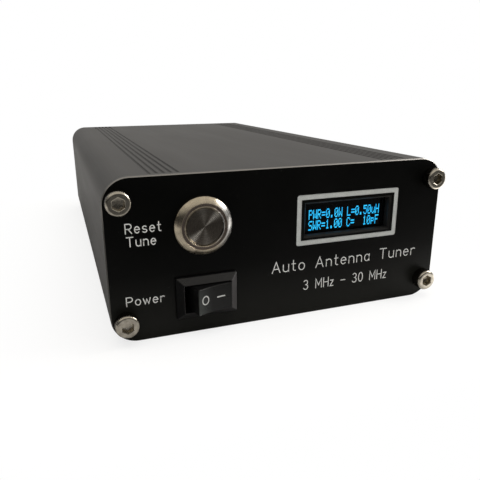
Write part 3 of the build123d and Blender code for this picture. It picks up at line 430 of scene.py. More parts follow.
def cap_painted_highlights(look, direction, radius):
    """Painted highlights: opposed bright wedges across the cap, where circular brushing would catch the
    light.
    """
    total = 0.0
    for angle, narrowness, amount in CAP_PAINTED_WEDGES:
        ray = (cos(radians(angle)), 0.0, sin(radians(angle)))
        along = look.vector("DOT_PRODUCT", direction, ray, "Value")
        total = (along * along).raised(narrowness) * amount + total
    return total


def flange_painted_light(look, direction, radius):
    """Painted light: the bevel is painted bright with faint radial streaked highlights; the flat ring inside
    it is painted dark as shade.
    """
    highlight_streaks = look.node("TexNoise", {"Vector": direction, "Scale": 5.0, "Detail": 2.0}, "Fac")
    # Painted shade on the flat ring; painted highlight on the bevel and the bore's edge
    bright = (radius > FLAT_RING[1] * MM) + (radius < FLAT_RING[0] * MM)
    return bright * highlight_streaks.spread(0.7, 1.0, 0.4, 0.6)


def brushed_metal(name, colour, smooth, rough, patches=330.0, darkest=0.72):
    """Plain machined or plated metal with fine scratches and handling marks."""
    look = principled(name, colour, 1.0, smooth)
    fine = look.noise(2600.0, 4.0, 0.65)
    broad = look.noise(patches)
    look.tint = look.mix(broad.spread(), colour, shade(colour, darkest))
    look.surface(colour=look.tint, roughness=broad.spread(smooth, rough) + fine.spread(-0.04, 0.04))
    look.bump(fine, 0.004, 0.35)
    return look


def screw_steel():
    """Bright stainless steel, with painted shade darkening the knurled sides of each of the four heads."""
    look = brushed_metal("stainless_screws", SCREW_COLOUR, 0.16, 0.26, 900.0, 0.6)
    low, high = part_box("front_panel_screws")
    reach = (high - low) / 2 - Vector((HEAD_RADIUS, 0.0, HEAD_RADIUS)) * MM
    away = look.vector("ABSOLUTE", look.vector("SUBTRACT", look.place(), (low + high) / 2))
    away = look.vector("MULTIPLY", look.vector("SUBTRACT", away, reach), (1.0, 0.0, 1.0))
    away = look.vector("LENGTH", away, output="Value")
    # Painted shade: the knurled side faces of each head are darkened
    knurled = (abs(look.normal("Y")) < 0.3) * (away > KNURLS_FROM * MM)
    look.surface(colour=look.mix(knurled, look.tint, shade(SCREW_COLOUR, 0.3)))
    return look


def moulded_plastic(name, colour, roughness, specular=0.5, grain=3200.0, relief=0.004):
    """Moulded plastic with a fine spark-eroded grain, slight gloss changes and lighter worn blotches."""
    look = principled(name, colour, 0.0, roughness, specular)
    fine = look.noise(grain, 3.0, 0.6)
    broad = look.noise(240.0, 2.0)
    worn = look.noise(520.0, 4.0, 0.7).spread(0.0, 1.0, 0.62, 0.8)
    lighter = tuple(min(1.0, 1.35 * c + 0.001) for c in colour)
    look.surface(
        colour=look.mix(worn, colour, lighter),
        roughness=broad.spread(roughness - 0.04, roughness + 0.06) + fine.spread(-0.03, 0.03),
    )
    look.bump(fine, relief, 0.5)
    return look


def bezel_plastic():
    """Rocker plastic; the slope that faces right has painted light that makes it paler, and it is glossier;
    the left one is duller.
    """
    look = moulded_plastic("rocker_plastic", ROCKER_BLACK, 0.32, 0.45, 4200.0, 0.002)
    right = look.normal("X")
    # Painted light: the colour turns paler on faces turned to the right
    look.surface(
        colour=look.mix(right.spread(0.0, 1.0, 0.3, 0.5), ROCKER_BLACK, (0.040, 0.038, 0.039)),
        specular=right.spread(0.08, 0.82, -0.5, 0.5),
    )
    return look


def paddle_plastic():
    """Rocker plastic with a painted pale sheen on its raised half."""
    look = principled("paddle_plastic", ROCKER_BLACK, 0.0, 0.32, 0.38)
    fine = look.noise(4200.0, 3.0, 0.6)
    broad = look.noise(420.0)
    pivot = rocker_pivot()
    across = look.place("X").spread(1.0, 0.0, (pivot.x - 3.2) * MM, (pivot.x + 0.4) * MM)
    down = look.place("Z").spread(1.0, 0.35, (pivot.z - 3.0) * MM, (pivot.z + 3.0) * MM)
    # Painted sheen: paler on front faces left of the pivot, fading upwards
    painted_sheen = across * down * broad.spread(0.7, 1.0) * abs(look.normal("Y")).spread(0.0, 1.0, 0.5, 0.8)
    look.surface(
        colour=look.mix(painted_sheen, ROCKER_BLACK, (0.047, 0.054, 0.051)),
        roughness=broad.spread(0.28, 0.36) + fine.spread(-0.03, 0.03),
    )
    look.bump(fine, 0.002, 0.5)
    return look


def dark_glass():
    """Near-black polished glass of the display, with a little dust."""
    colour = (0.0012, 0.0016, 0.0022)
    look = principled("display_glass", colour, 0.0, 0.06, 0.22)
    dust = look.noise(2400.0, 2.0).spread(0.0, 1.0, 0.72, 0.8)
    smear = look.noise(130.0, 2.0).spread(0.05, 0.12)
    look.surface(colour=look.mix(dust * 0.08, colour, (0.2, 0.2, 0.2)), roughness=smear)
    return look


def lit_dots():
    """Lit display dots: cyan blue, a little uneven from dot to dot."""
    look = principled("lit_dots", (0.0, 0.02, 0.03), 0.0, 0.4)
    flicker = look.noise(900.0, 2.0).spread()
    look.surface(glow=look.mix(flicker, (0.004, 0.36, 0.80), (0.03, 0.56, 0.95)), glow_strength=1.35)
    return look


def circuit_board(name, mask, bare):
    """Solder mask over glass fibre: woven texture and faint copper tracks under the mask."""
    look = principled(name, mask, 0.0, 0.32)
    tracks = look.node("TexBrick", {
        "Vector": look.stretched(260.0), "Scale": 1.0, "Mortar Size": 0.09,
        "Color1": mask, "Color2": shade(mask, 0.8), "Mortar": bare,
    }, "Color")
    weave = look.noise(2200.0, 2.0)
    look.surface(colour=tracks, roughness=weave.spread(0.26, 0.4))
    look.bump(weave + tracks.sibling("Fac"), 0.01, 0.5)
    return look


def coloured_wires(name, *colours):
    """Wire insulation; each separate wire of the node takes one of the colours."""
    look = principled(name, colours[0], 0.0, 0.42)
    island = look.node("NewGeometry", {}, "Random Per Island")
    chosen = look.node("ValToRGB", {"Fac": island})
    ramp = chosen.socket.node.color_ramp
    ramp.interpolation = "CONSTANT"
    for i, colour in enumerate(colours):
        element = ramp.elements[i] if i < 2 else ramp.elements.new(i / len(colours))
        element.position = i / len(colours)
        element.color = (*colour, 1.0)
    fine = look.noise(1500.0, 2.0)
    look.surface(colour=chosen, roughness=fine.spread(0.34, 0.5))
    look.bump(fine, 0.01, 0.4)
    return look


def dress(look, names):
    """Gives CAD nodes a finish and returns its material."""
    for name in names.split():
        mesh = frame["nodes"][name].data
        mesh.materials.clear()
        mesh.materials.append(look.owner)
    return look.owner


# --- mesh helpers

def box(name):
    """Lowest and highest corners of a CAD node at rest."""
    low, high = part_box(name)
    return low / MM, high / MM


def centre(name):
    """Middle of a CAD node's box."""
    low, high = box(name)
    return (low + high) / 2


def joint(name):
    """Record of a joint."""
    return next(j for j in frame["joints"] if j["name"] == name)


def placed(name, data):
    """New object in the scene."""
    made = bpy.data.objects.new(name, data)
    bpy.context.scene.collection.objects.link(made)
    return made


def piece(name, parts, material, body, sharp, node=None):
    """Mesh object of one or more parts, riding on a CAD body and standing for a CAD node.

    It is smooth except at edges sharper than the given angle.
    """
    verts, faces = [], []
    for part_verts, part_faces in parts:
        start = len(verts)
        verts.extend(tuple(MM * c for c in vert) for vert in part_verts)
        faces.extend(tuple(start + i for i in face) for face in part_faces)
    mesh = bpy.data.meshes.new(name)
    mesh.from_pydata(verts, [], faces)
    work = bmesh.new()
    work.from_mesh(mesh)
    bmesh.ops.recalc_face_normals(work, faces=work.faces)
    work.to_mesh(mesh)
    work.free()
    mesh.materials.append(material)
    mesh.shade_smooth()
    mesh.set_sharp_from_angle(angle=radians(sharp))
    made = placed(name, mesh)
    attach(made, body)
    if node:
        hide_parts(node)
    return made


def bridged(sections, closed=False, first_cap=False, last_cap=False):
    """Skin over cross-sections, each a ring of equally many points; a closed one joins up again."""
    count = len(sections[0])
    verts = [point for section in sections for point in section]
    faces = []
    for k in range(len(sections) if closed else len(sections) - 1):
        a, b = k * count, (k + 1) % len(sections) * count
        faces += [(a + i, b + i, b + (i + 1) % count, a + (i + 1) % count) for i in range(count)]
    if first_cap:
        faces.append(tuple(range(count)))
    if last_cap:
        faces.append(tuple(range(len(verts) - count, len(verts))))
    return verts, faces


def polar(rings, x, z, steps):
    """Surface of rings round the lengthwise axis at x, z.

    Each ring is (radius, y); either may be a function of the angle.  A first or last ring of
    radius 0 becomes a single point.
    """
    verts, faces, starts = [], [], []
    for radius, y in rings:
        starts.append(len(verts))
        if radius == 0:
            verts.append((x, y, z))
            continue
        for i in range(steps):
            angle = 2 * pi * i / steps
            r = radius(angle) if callable(radius) else radius
            height = y(angle) if callable(y) else y
            verts.append((x + r * cos(angle), height, z + r * sin(angle)))
    for k in range(len(rings) - 1):
        first, second = starts[k], starts[k + 1]
        for i in range(steps):
            j = (i + 1) % steps
            if rings[k][0] == 0:
                faces.append((first, second + i, second + j))
            elif rings[k + 1][0] == 0:
                faces.append((first + i, second, first + j))
            else:
                faces.append((first + i, second + i, second + j, first + j))
    return verts, faces


def rounded(profile, origin, steps=5):
    """Rings from (radius, depth behind the origin, corner radius), each corner turned into an arc."""
    out = []
    for i, (r, y, bend) in enumerate(profile):
        if bend == 0 or i in (0, len(profile) - 1):
            out.append((r, origin + y))
            continue
        here = Vector((r, y))
        before = Vector(profile[i - 1][:2]) - here
        after = Vector(profile[i + 1][:2]) - here
        reach = min(bend, 0.45 * before.length, 0.45 * after.length)
        start = here + before.normalized() * reach
        end = here + after.normalized() * reach
        for k in range(steps + 1):
            t = k / steps
            point = start * (1 - t) ** 2 + here * 2 * t * (1 - t) + end * t * t
            out.append((point.x, origin + point.y))
    return out


def rectangles(rows, x, z, per_corner=8):
    """Rounded rectangles about x, z as sections, from half width, half height, corner radius and y."""
    sections = []
    for half_x, half_z, corner, y in rows:
        points = []
        for k, (side_x, side_z) in enumerate(((1, -1), (1, 1), (-1, 1), (-1, -1))):
            for i in range(per_corner + 1):
                angle = -pi / 2 + pi / 2 * k + pi / 2 * i / per_corner
                px = side_x * (half_x - corner) + corner * cos(angle)
                pz = side_z * (half_z - corner) + corner * sin(angle)
                points.append((x + px, y, z + pz))
        sections.append(points)
    return sections


def tube(points, radius, sides=10):
    """Round wire along a path of points, with flat ends."""
    points = [Vector(p) for p in points]
    sections = []
    normal = None
    for i, point in enumerate(points):
        along = (points[min(i + 1, len(points) - 1)] - points[max(i - 1, 0)]).normalized()
        if normal is None:
            normal = along.orthogonal().normalized()
        normal = (normal - along * normal.dot(along)).normalized()
        other = along.cross(normal)
        angles = [2 * pi * k / sides for k in range(sides)]
        sections.append([point + radius * (cos(a) * normal + sin(a) * other) for a in angles])
    return bridged(sections, False, True, True)


def band(pairs, place, rises, closed=False):
    """Thin raised band between pairs of points; place(point, rise) puts a point on the surface."""
    low, high = rises
    sections = [
        [place(first, low), place(first, high), place(second, high), place(second, low)]
        for first, second in pairs
    ]
    return bridged(sections, closed, not closed, not closed)


def notch(radius, y, depth, half):
    """Ring at y, cut down by depth in four places where it crosses the axes."""
    def height(angle):
        away = min(abs(radius * cos(angle)), abs(radius * sin(angle)))
        return y - (depth if away < half else 0.0)
    return radius, height


# --- screws

def hexagon(flat, grow=0.0):
    """Radius of a hexagon with rounded corners, as a function of the angle."""
    def radius(angle):
        turn = (angle + pi / 6) % (pi / 3) - pi / 6
        return min(flat / cos(turn), flat * 1.12) + grow
    return radius


def knurl(angle):
    """Radius of the knurled head."""
    return HEAD_RADIUS - KNURL_DEPTH * (0.5 + 0.5 * cos(KNURLS * angle)) ** 0.5


def thread(outer, depth, pitch, y0, y1, per_pitch=6):
    """Rings of a screw thread from y0 to y1, running out at both ends."""
    rings = []
    count = max(2, int(abs(y1 - y0) / pitch * per_pitch))
    for i in range(count + 1):
        y = y0 + (y1 - y0) * i / count
        fade = min(1.0, 8 * i / count, 8 * (count - i) / count)

        def radius(angle, y=y, fade=fade):
            phase = (y / pitch - angle / (2 * pi)) % 1.0
            return outer - depth * fade * abs(2 * phase - 1)
        rings.append((radius, y))
    return rings


def shank(seat, outward, run_out, length, tip):
    """Rings of a threaded M3 shank, from below its head to its point."""
    end = seat - outward * length
    rings = thread(SHANK_RADIUS, M3_THREAD_DEPTH, M3_PITCH, seat - outward * run_out, end + outward * tip)
    return rings + [(1.0, end), (0, end)]


def socket_screw(x, z, face, outward):
    """Socket-head screw on a face: knurled head, hexagon socket, threaded shank."""
    top = HEAD_HEIGHT
    deep = top - SOCKET_DEPTH
    head = [
        (0, deep - 0.35), (hexagon(SOCKET_FLAT * 0.97), deep), (hexagon(SOCKET_FLAT), deep + 0.1),
        (hexagon(SOCKET_FLAT), top - 0.22), (hexagon(SOCKET_FLAT, 0.06), top - 0.08),
        (hexagon(SOCKET_FLAT, 0.20), top), (1.78, top), (2.18, top), (2.28, top - 0.02),
        (2.48, top - 0.14), (2.64, top - 0.32), (knurl, top - 0.48), (knurl, top - 1.3),
        (knurl, 0.42), (2.66, 0.28), (2.62, 0.06), (2.50, 0.0), (SHANK_RADIUS, 0.0),
    ]
    rings = [(radius, face + outward * height) for radius, height in head]
    return polar(rings + shank(face, outward, 1.0, SCREW_LENGTH, 0.3), x, z, 240)


def case_screws(node, outward, material):
    """Four socket-head screws standing for one CAD node."""
    low, high = box(node)
    face = high.y - HEAD_HEIGHT if outward > 0 else low.y + HEAD_HEIGHT
    parts = [
        socket_screw(x, z, face, outward)
        for x in (low.x + HEAD_RADIUS, high.x - HEAD_RADIUS)
        for z in (low.z + HEAD_RADIUS, high.z - HEAD_RADIUS)
    ]
    piece(node + "_detail", parts, material, "case", 28.0, node)


# --- pushbutton

def button(metal, cap_metal, steel):
    """Bevelled flange and barrel, spun cap, and return spring."""
    axis = centre("button_housing")
    front, back = box("button_housing")[0].y, box("button_housing")[1].y
    plate = front + FLANGE_PROUD
    rings = rounded([
        (4.60, 2.80, 0.0), (4.46, 1.20, 0.0), (4.46, 0.06, 0.06), (4.53, 0.0, 0.05), (4.66, 0.02, 0.05),
        (4.70, 0.10, 0.03), (5.36, 0.08, 0.03), (5.42, 0.0, 0.04), (6.05, 0.37, 0.3), (6.60, 0.82, 0.3),
        (6.85, 1.12, 0.12), (6.85, FLANGE_PROUD, 0.0), (BARREL_RADIUS, FLANGE_PROUD, 0.0),
    ], front)
    rings += thread(BARREL_RADIUS, *BARREL_THREAD, plate + 0.4, back - 0.4)
    rings += [(5.6, back), (5.2, back), (5.2, front + 2.80), (4.60, front + 2.80)]
    piece("button_flange_and_barrel", [polar(rings, axis.x, axis.z, 256)], metal, "case", 28.0,
          "button_housing")

    low, high = box("button_cap")
    rear = high.y - low.y
    rings = rounded([
        (0.0, 0.04, 0.0), (2.2, 0.03, 0.3), (4.18, 0.0, 0.03), (4.33, 0.12, 0.06), (4.33, rear - 1.0, 0.0),
        (5.10, rear - 1.0, 0.05), (5.10, rear, 0.05), (2.0, rear, 0.0), (2.0, rear - 1.4, 0.0),
        (0.0, rear - 1.4, 0.0),
    ], low.y)
    piece("button_spun_cap", [polar(rings, axis.x, axis.z, 256)], cap_metal, "button", 24.0,
          "button_cap")

    low, high = box("button_spring")
    first, last = low.y + SPRING_WIRE, high.y - SPRING_WIRE
    count = int(SPRING_TURNS * 36)
    path = []
    for i in range(count + 1):
        angle = 2 * pi * SPRING_TURNS * i / count
        path.append((axis.x + SPRING_RADIUS * cos(angle), first + (last - first) * i / count,
                     axis.z - SPRING_RADIUS * sin(angle)))
    spring = piece("button_return_spring", [tube(path, SPRING_WIRE, 8)], steel, "case", 32.0,
                   "button_spring")
    travel = joint("button_press")["range_m"][1] / MM
    1 - travel / (high.y - low.y)
    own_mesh(spring)


# --- rocker switch

def paddle_face(u):
    """Height of the hollowed paddle face above its pivot, at u across it."""
    radius = (PADDLE_HALF ** 2 + PADDLE_HOLLOW ** 2) / (2 * PADDLE_HOLLOW)
    return PADDLE_TIP - PADDLE_HOLLOW + radius - (radius ** 2 - u ** 2) ** 0.5


def rocker_pivot():
    """Pivot of the paddle in the row frame."""
    return Vector(joint("rocker_tilt")["pos_m"]) / MM


def tilted(point):
    """Point given about the pivot, at the paddle's resting tilt."""
    return rocker_pivot() + Matrix.Rotation(TILT, 3, "Z") @ Vector(point)


def on_paddle(point, rise):
    """Place that is rise above a point across and along the paddle face."""
    u, w = point
    return tilted((u, -(paddle_face(u) + rise), w))


def paddle_shape(steps=28):
    """Hollow-faced paddle with rounded edges."""
    across = [PADDLE_HALF * (2 * i / steps - 1) for i in range(steps + 1)]
    side = [(u, -paddle_face(u)) for u in across] + [(PADDLE_HALF, PADDLE_BACK), (-PADDLE_HALF, PADDLE_BACK)]
    sections = [[(u, v, w) for u, v in side] for w in (-PADDLE_WIDE, PADDLE_WIDE)]
    verts, faces = bridged(sections, False, True, True)
    work = bmesh.new()
    for vert in verts:
        work.verts.new(vert)
    work.verts.ensure_lookup_table()
    for face in faces:
        work.faces.new([work.verts[i] for i in face])
    bmesh.ops.recalc_face_normals(work, faces=work.faces)
    rims = [e for e in work.edges if e.calc_face_angle(0.0) > radians(40)]
    bmesh.ops.bevel(work, geom=rims, offset=PADDLE_EDGE, segments=5, profile=0.5, affect="EDGES")
    work.verts.index_update()
    shape = [tilted(v.co) for v in work.verts], [tuple(v.index for v in f.verts) for f in work.faces]
    work.free()
    return shape


def rocker(plastic, paddle_finish, paint):
    """Sloped bezel and body, hollow-faced paddle, and its two printed marks."""
    low, high = box("rocker_housing")
    x, z = centre("rocker_housing").x, centre("rocker_housing").z
    front, plate = low.y, low.y + BEZEL_PROUD
    bezel = (
        (7.37, 4.97, 0.30, plate), (7.45, 5.05, 0.34, plate - 0.04), (7.45, 5.05, 0.34, plate - 0.68),
        (7.41, 5.01, 0.32, plate - 0.78), (7.33, 4.93, 0.30, plate - 0.86), (5.90, 3.60, 0.22, front + 0.10),
        (5.82, 3.51, 0.22, front + 0.02), (5.74, 3.44, 0.22, front), (5.66, 3.36, 0.22, front + 0.06),
        (5.65, 3.35, 0.20, front + 0.16), (5.65, 3.35, 0.20, high.y - 1.2),
    )
    body = ((7.37, 4.97, 0.30, plate), (6.45, 4.25, 0.30, plate), (6.45, 4.25, 0.30, high.y))
    parts = [bridged(rectangles(rows, x, z), last_cap=True) for rows in (bezel, body)]
    piece("rocker_bezel_and_body", parts, plastic, "case", 24.0, "rocker_housing")

    parts = [paddle_shape()]
    for side in (-1, 1):
        ends = sorted((side * 3.1, side * 3.75))
        verts, faces = tube([(0, 0, w) for w in ends], 0.8, 24)
        parts.append(([rocker_pivot() + v for v in verts], faces))
    verts, faces = tube([(0, 1.0, 0), (0, 5.0, 0)], 1.6, 32)
    parts.append(([tilted(v) for v in verts], faces))
    piece("rocker_hollow_paddle", parts, paddle_finish, "rocker", 30.0, "rocker_paddle")

    ring = []
    for k in range(48):
        c, s = cos(2 * pi * k / 48), sin(2 * pi * k / 48)
        ring.append([
            (RING_CENTRE + (RING_HALF[0] - line) * c, MARK_HEIGHT + (RING_HALF[1] - line) * s)
            for line in (RING_LINE, 0.0)
        ])
    bar = []
    for i in range(11):
        u = BAR_SPAN[0] + (BAR_SPAN[1] - BAR_SPAN[0]) * i / 10
        bar.append(((u, MARK_HEIGHT - BAR_HALF), (u, MARK_HEIGHT + BAR_HALF)))
    parts = [band(ring, on_paddle, MARK_RISE, True), band(bar, on_paddle, MARK_RISE)]
    piece("rocker_marks", parts, paint, "rocker", 40.0)


# --- engraved lettering

def arc(cx, cy, rx, ry, start, end, steps=10):
    """Points of an elliptical arc, angles in degrees."""
    angles = [radians(start + (end - start) * i / steps) for i in range(steps + 1)]
    return [(cx + rx * cos(a), cy + ry * sin(a)) for a in angles]


def glyphs():
    """Single-stroke letters: width and strokes, in units of the capital height."""
    bowl = [(0, 0), (0, 1), (0.36, 1)] + arc(0.36, 0.735, 0.27, 0.265, 90, -90)[1:] + [(0, 0.47)]
    return {
        "A": (0.72, [[(0, 0), (0.36, 1), (0.72, 0)], [(0.13, 0.34), (0.59, 0.34)]]),
        "C": (0.70, [arc(0.38, 0.5, 0.38, 0.5, 42, 318, 18)]),
        "D": (0.68, [[(0, 0), (0, 1), (0.28, 1)] + arc(0.28, 0.5, 0.40, 0.5, 90, -90)[1:] + [(0, 0)]]),
        "H": (0.66, [[(0, 0), (0, 1)], [(0.66, 0), (0.66, 1)], [(0, 0.52), (0.66, 0.52)]]),
        "M": (0.80, [[(0, 0), (0, 1), (0.40, 0.30), (0.80, 1), (0.80, 0)]]),
        "N": (0.66, [[(0, 0), (0, 1), (0.66, 0), (0.66, 1)]]),
        "P": (0.63, [bowl]),
        "R": (0.64, [bowl, [(0.30, 0.47), (0.64, 0)]]),
        "T": (0.70, [[(0, 1), (0.70, 1)], [(0.35, 1), (0.35, 0)]]),
        "V": (0.70, [[(0, 1), (0.35, 0), (0.70, 1)]]),
        "X": (0.66, [[(0, 0), (0.66, 1)], [(0, 1), (0.66, 0)]]),
        "a": (0.50, [arc(0.25, 0.33, 0.24, 0.33, 90, 450, 18), [(0.49, 0.66), (0.49, 0)]]),
        "e": (0.52, [[(0.02, 0.36)] + arc(0.26, 0.33, 0.25, 0.33, 5, 318, 18)]),
        "n": (0.50, [[(0, 0.66), (0, 0)], [(0, 0.40)] + arc(0.25, 0.41, 0.25, 0.25, 170, 0) + [(0.50, 0)]]),
        "o": (0.54, [arc(0.27, 0.33, 0.27, 0.33, 90, 450, 20)]),
        "r": (0.34, [[(0, 0.66), (0, 0)], [(0, 0.38)] + arc(0.25, 0.38, 0.25, 0.28, 170, 55, 6)]),
        "s": (0.46, [arc(0.23, 0.49, 0.20, 0.17, 35, 270) + arc(0.23, 0.16, 0.22, 0.16, 90, -150)[1:]]),
        "t": (0.36, [[(0.14, 0.98), (0.14, 0.16)] + arc(0.30, 0.16, 0.16, 0.15, 180, 290, 6)[1:],
                     [(0, 0.66), (0.34, 0.66)]]),
        "u": (0.50, [[(0, 0.66), (0, 0.25)] + arc(0.25, 0.25, 0.25, 0.25, 180, 350)[1:],
                     [(0.50, 0.66), (0.50, 0)]]),
        "w": (0.74, [[(0, 0.66), (0.18, 0), (0.37, 0.56), (0.56, 0), (0.74, 0.66)]]),
        "z": (0.42, [[(0, 0.62), (0.42, 0.62), (0, 0), (0.42, 0)]]),
        "0": (0.60, [arc(0.30, 0.5, 0.30, 0.5, 90, 450, 24)]),
        "1": (0.24, [[(0, 0.80), (0.22, 1), (0.22, 0)]]),
        "2": (0.60, [arc(0.30, 0.72, 0.28, 0.28, 170, -35) + [(0, 0), (0.60, 0)]]),
        "3": (0.60, [arc(0.28, 0.76, 0.26, 0.24, 150, -90) + arc(0.28, 0.26, 0.30, 0.26, 90, -155)[1:]]),
        "-": (0.62, [[(0, 0.46), (0.62, 0.46)]]),
        " ": (0.50, []),
    }


def ribbon(points, half):
    """Pairs of points along both sides of a path, with mitred joints and half-round ends."""
    points = [Vector(p) for p in points]
    steps = [(after - before).normalized() for before, after in zip(points, points[1:])]
    pairs = []
    for i, point in enumerate(points):
        before, after = steps[max(i - 1, 0)], steps[min(i, len(steps) - 1)]
        square = Vector((-before.y, before.x))
        normal = Vector((-(before + after).y, (before + after).x))
        if normal.length < 1e-6:
            normal = square.copy()
        normal.normalize()
        spots = [(point, min(2.2, 1 / max(0.3, normal.dot(square))))]
        if i == 0:
            spots = [(point - after * half * cos(a), sin(a)) for a in END_ANGLES] + spots
        if i == len(points) - 1:
            spots += [(point + before * half * cos(a), sin(a)) for a in reversed(END_ANGLES)]
        pairs += [(spot + normal * half * reach, spot - normal * half * reach) for spot, reach in spots]
    return pairs


def text_line(text, left, right, base, height, y, outward):
    """Lettering stretched to run from left to right on a plate; mirrored for a rear plate."""
    table = glyphs()
    scale = (right - left) / (sum(table[c][0] for c in text) + LETTER_GAP * (len(text) - 1))

    def place(point, rise):
        return point.x, y + outward * rise, point.y

    parts = []
    cursor = 0.0
    for character in text:
        width, strokes = table[character]
        for stroke in strokes:
            points = []
            for px, py in stroke:
                across = (cursor + px) * scale
                points.append((left + across if outward < 0 else right - across, base + py * height))
            parts.append(band(ribbon(points, STROKE_WIDTH / 2), place, (-STROKE_PROUD, STROKE_PROUD)))
        cursor += width + LETTER_GAP
    return parts


def lettering(paint):
    """Generic function labels on both plates: text, left, right, base line from mid-height, and height."""
    front = (
        ("Reset", -39.3, -31.5, 6.8, 2.16),
        ("Tune", -39.2, -32.8, 3.8, 2.14),
        ("Power", -40.2, -31.7, -10.2, 2.1),
        ("Auto Antenna Tuner", -4.5, 37.7, -7.0, 2.8),
        ("3 MHz - 30 MHz", 4.3, 29.1, -12.6, 2.5),
    )
    rear = (
        ("ANT", -27.2, -20.8, 14.3, 2.2),
        ("TRX", 20.8, 27.2, 14.3, 2.2),
        ("12V DC", -5.4, 5.4, -9.2, 2.0),
    )
    middle = centre("front_panel").z
    faces = (("front", front, box("front_panel")[0].y, -1), ("rear", rear, box("rear_panel")[1].y, 1))
    for side, lines, y, outward in faces:
        parts = []
        for text, left, right, base, height in lines:
            parts += text_line(text, left, right, middle + base, height, y, outward)
        piece(side + "_lettering", parts, paint, "case", 40.0)


# --- display

DOT_FONT = {
    "P": "11110 10001 10001 11110 10000 10000 10000",
    "W": "10001 10001 10001 10101 10101 11011 10001",
    "R": "11110 10001 10001 11110 10100 10010 10001",
    "S": "01111 10000 10000 01110 00001 00001 11110",
    "L": "10000 10000 10000 10000 10000 10000 11111",
    "C": "01110 10001 10000 10000 10000 10001 01110",
    "H": "10001 10001 10001 11111 10001 10001 10001",
    "F": "11111 10000 10000 11110 10000 10000 10000",
    "u": "00000 00000 10001 10001 10001 10011 01101",
    "p": "00000 00000 11110 10001 11110 10000 10000",
    "0": "01110 10001 10011 10101 11001 10001 01110",
    "1": "00100 01100 00100 00100 00100 00100 01110",
    "5": "11111 10000 11110 00001 00001 10001 01110",
    "=": "00000 00000 11111 00000 11111 00000 00000",
    ".": "00000 00000 00000 00000 00000 01100 01100",
    " ": "00000 00000 00000 00000 00000 00000 00000",
}
READ_OUT = ("PWR=0.0W L=0.50uH", "SWR=1.00 C=  10pF")


def dot(x, z, y):
    """One lit dot: a shallow block with a bevelled front."""
    w, h, e = DOT_WIDTH - DOT_GAP, DOT_HEIGHT - DOT_GAP, DOT_BEVEL
    back_y = y + DOT_DEPTH
    front = [(x + e, y, z - e), (x + w - e, y, z - e), (x + w - e, y, z - h + e), (x + e, y, z - h + e)]
    back = [(x, back_y, z), (x + w, back_y, z), (x + w, back_y, z - h), (x, back_y, z - h)]
    return bridged([front, back], False, True, True)


def read_out(material):
    """Two lines of lit dots just in front of the display glass."""
    top = centre("front_panel").z + READ_OUT_TOP
    face = box("display_glass")[0].y - 0.02
    parts = []
    for row, text in enumerate(READ_OUT):
        for column, character in enumerate(text):
            for line, bits in enumerate(DOT_FONT[character].split()):
                for k, bit in enumerate(bits):
                    x = READ_OUT_LEFT + column * CHARACTER_PITCH + k * DOT_WIDTH
                    z = top - row * LINE_PITCH - line * DOT_HEIGHT
                    if bit == "1":
                        parts.append(dot(x, z, face))
    piece("display_dots", parts, material, "case", 40.0)


# --- rear sockets

def coaxial_socket(which, metal, gold, white):
    """Threaded shell with notched rim, square flange, insulator and slotted centre contact."""
    node = which + "_socket_shell"
    low, high = box(node)
    x, z, tip = centre(node).x, centre(node).z, high.y
    plate = box("rear_panel")[1].y
    barrel = [(SOCKET_BORE, low.y), (7.3, low.y), (7.3, plate + 4.0), (7.5, plate + 4.2)]
    barrel += thread(SOCKET_RADIUS, SOCKET_THREAD_DEPTH, SOCKET_PITCH, plate + 4.4, tip - 1.3, 8)
    barrel += [(7.8, tip - 1.1)] + [notch(radius, tip, 1.0, 0.7) for radius in (7.7, 7.5, 6.5)]
    barrel += [(SOCKET_BORE, tip - 1.1), (SOCKET_BORE, low.y)]
    half, front = FLANGE_HALF, plate + FLANGE_THICK
    flange = rectangles([
        (half - 0.25, half - 0.25, 1.5, plate + 0.02), (half, half, 1.5, plate + 0.22),
        (half, half, 1.5, front - 0.3), (half - 0.1, half - 0.1, 1.5, front - 0.08),
        (half - 0.3, half - 0.3, 1.4, front),
    ], x, z)
    collar = []
    for px, y, pz in flange[-1]:
        share = COLLAR_RADIUS / hypot(px - x, pz - z)
        collar.append((x + share * (px - x), y, z + share * (pz - z)))
    parts = [polar(barrel, x, z, 240), bridged(flange + [collar])]
    piece(which + "_socket_threaded_shell", parts, metal, "case", 26.0, node)

    node = which + "_socket_contact"
    back, tip = box(node)[0].y, box(node)[1].y
    rings = [
        (0, back + 4.0), (1.5, back + 4.0), (1.5, back), (2.4, back), (2.4, back + 4.8), (3.6, back + 4.8),
        (3.6, back + 5.78), (3.1, back + 5.78), (3.1, tip - 6.6),
    ]
    slots = ((3.1, 6.5), (2.8, 6.4), (2.25, 6.4), (2.0, 6.5))
    rings += [notch(radius, tip, depth, 0.25) for radius, depth in slots]
    rings += [(2.0, tip - 6.6), (2.0, tip - 12.0), (0, tip - 12.0)]
    parts = [polar(rings, x, z, 192)]
    piece(which + "_socket_slotted_contact", parts, gold, "case", 30.0, node)

    node = which + "_socket_insulator"
    low, high = box(node)
    end = high.y - low.y
    rings = rounded([
        (3.13, 0.0, 0.0), (6.9, 0.0, 0.1), (6.9, 1.17, 0.0), (6.32, 1.17, 0.0), (6.32, end, 0.4),
        (5.2, end, 0.0), (5.0, end - 0.3, 0.1), (4.0, end - 0.3, 0.1), (3.8, end, 0.0), (3.13, end, 0.1),
        (3.13, 0.0, 0.0),
    ], low.y)
    parts = [polar(rings, x, z, 128)]
    piece(which + "_socket_bush", parts, white, "case", 26.0, node)


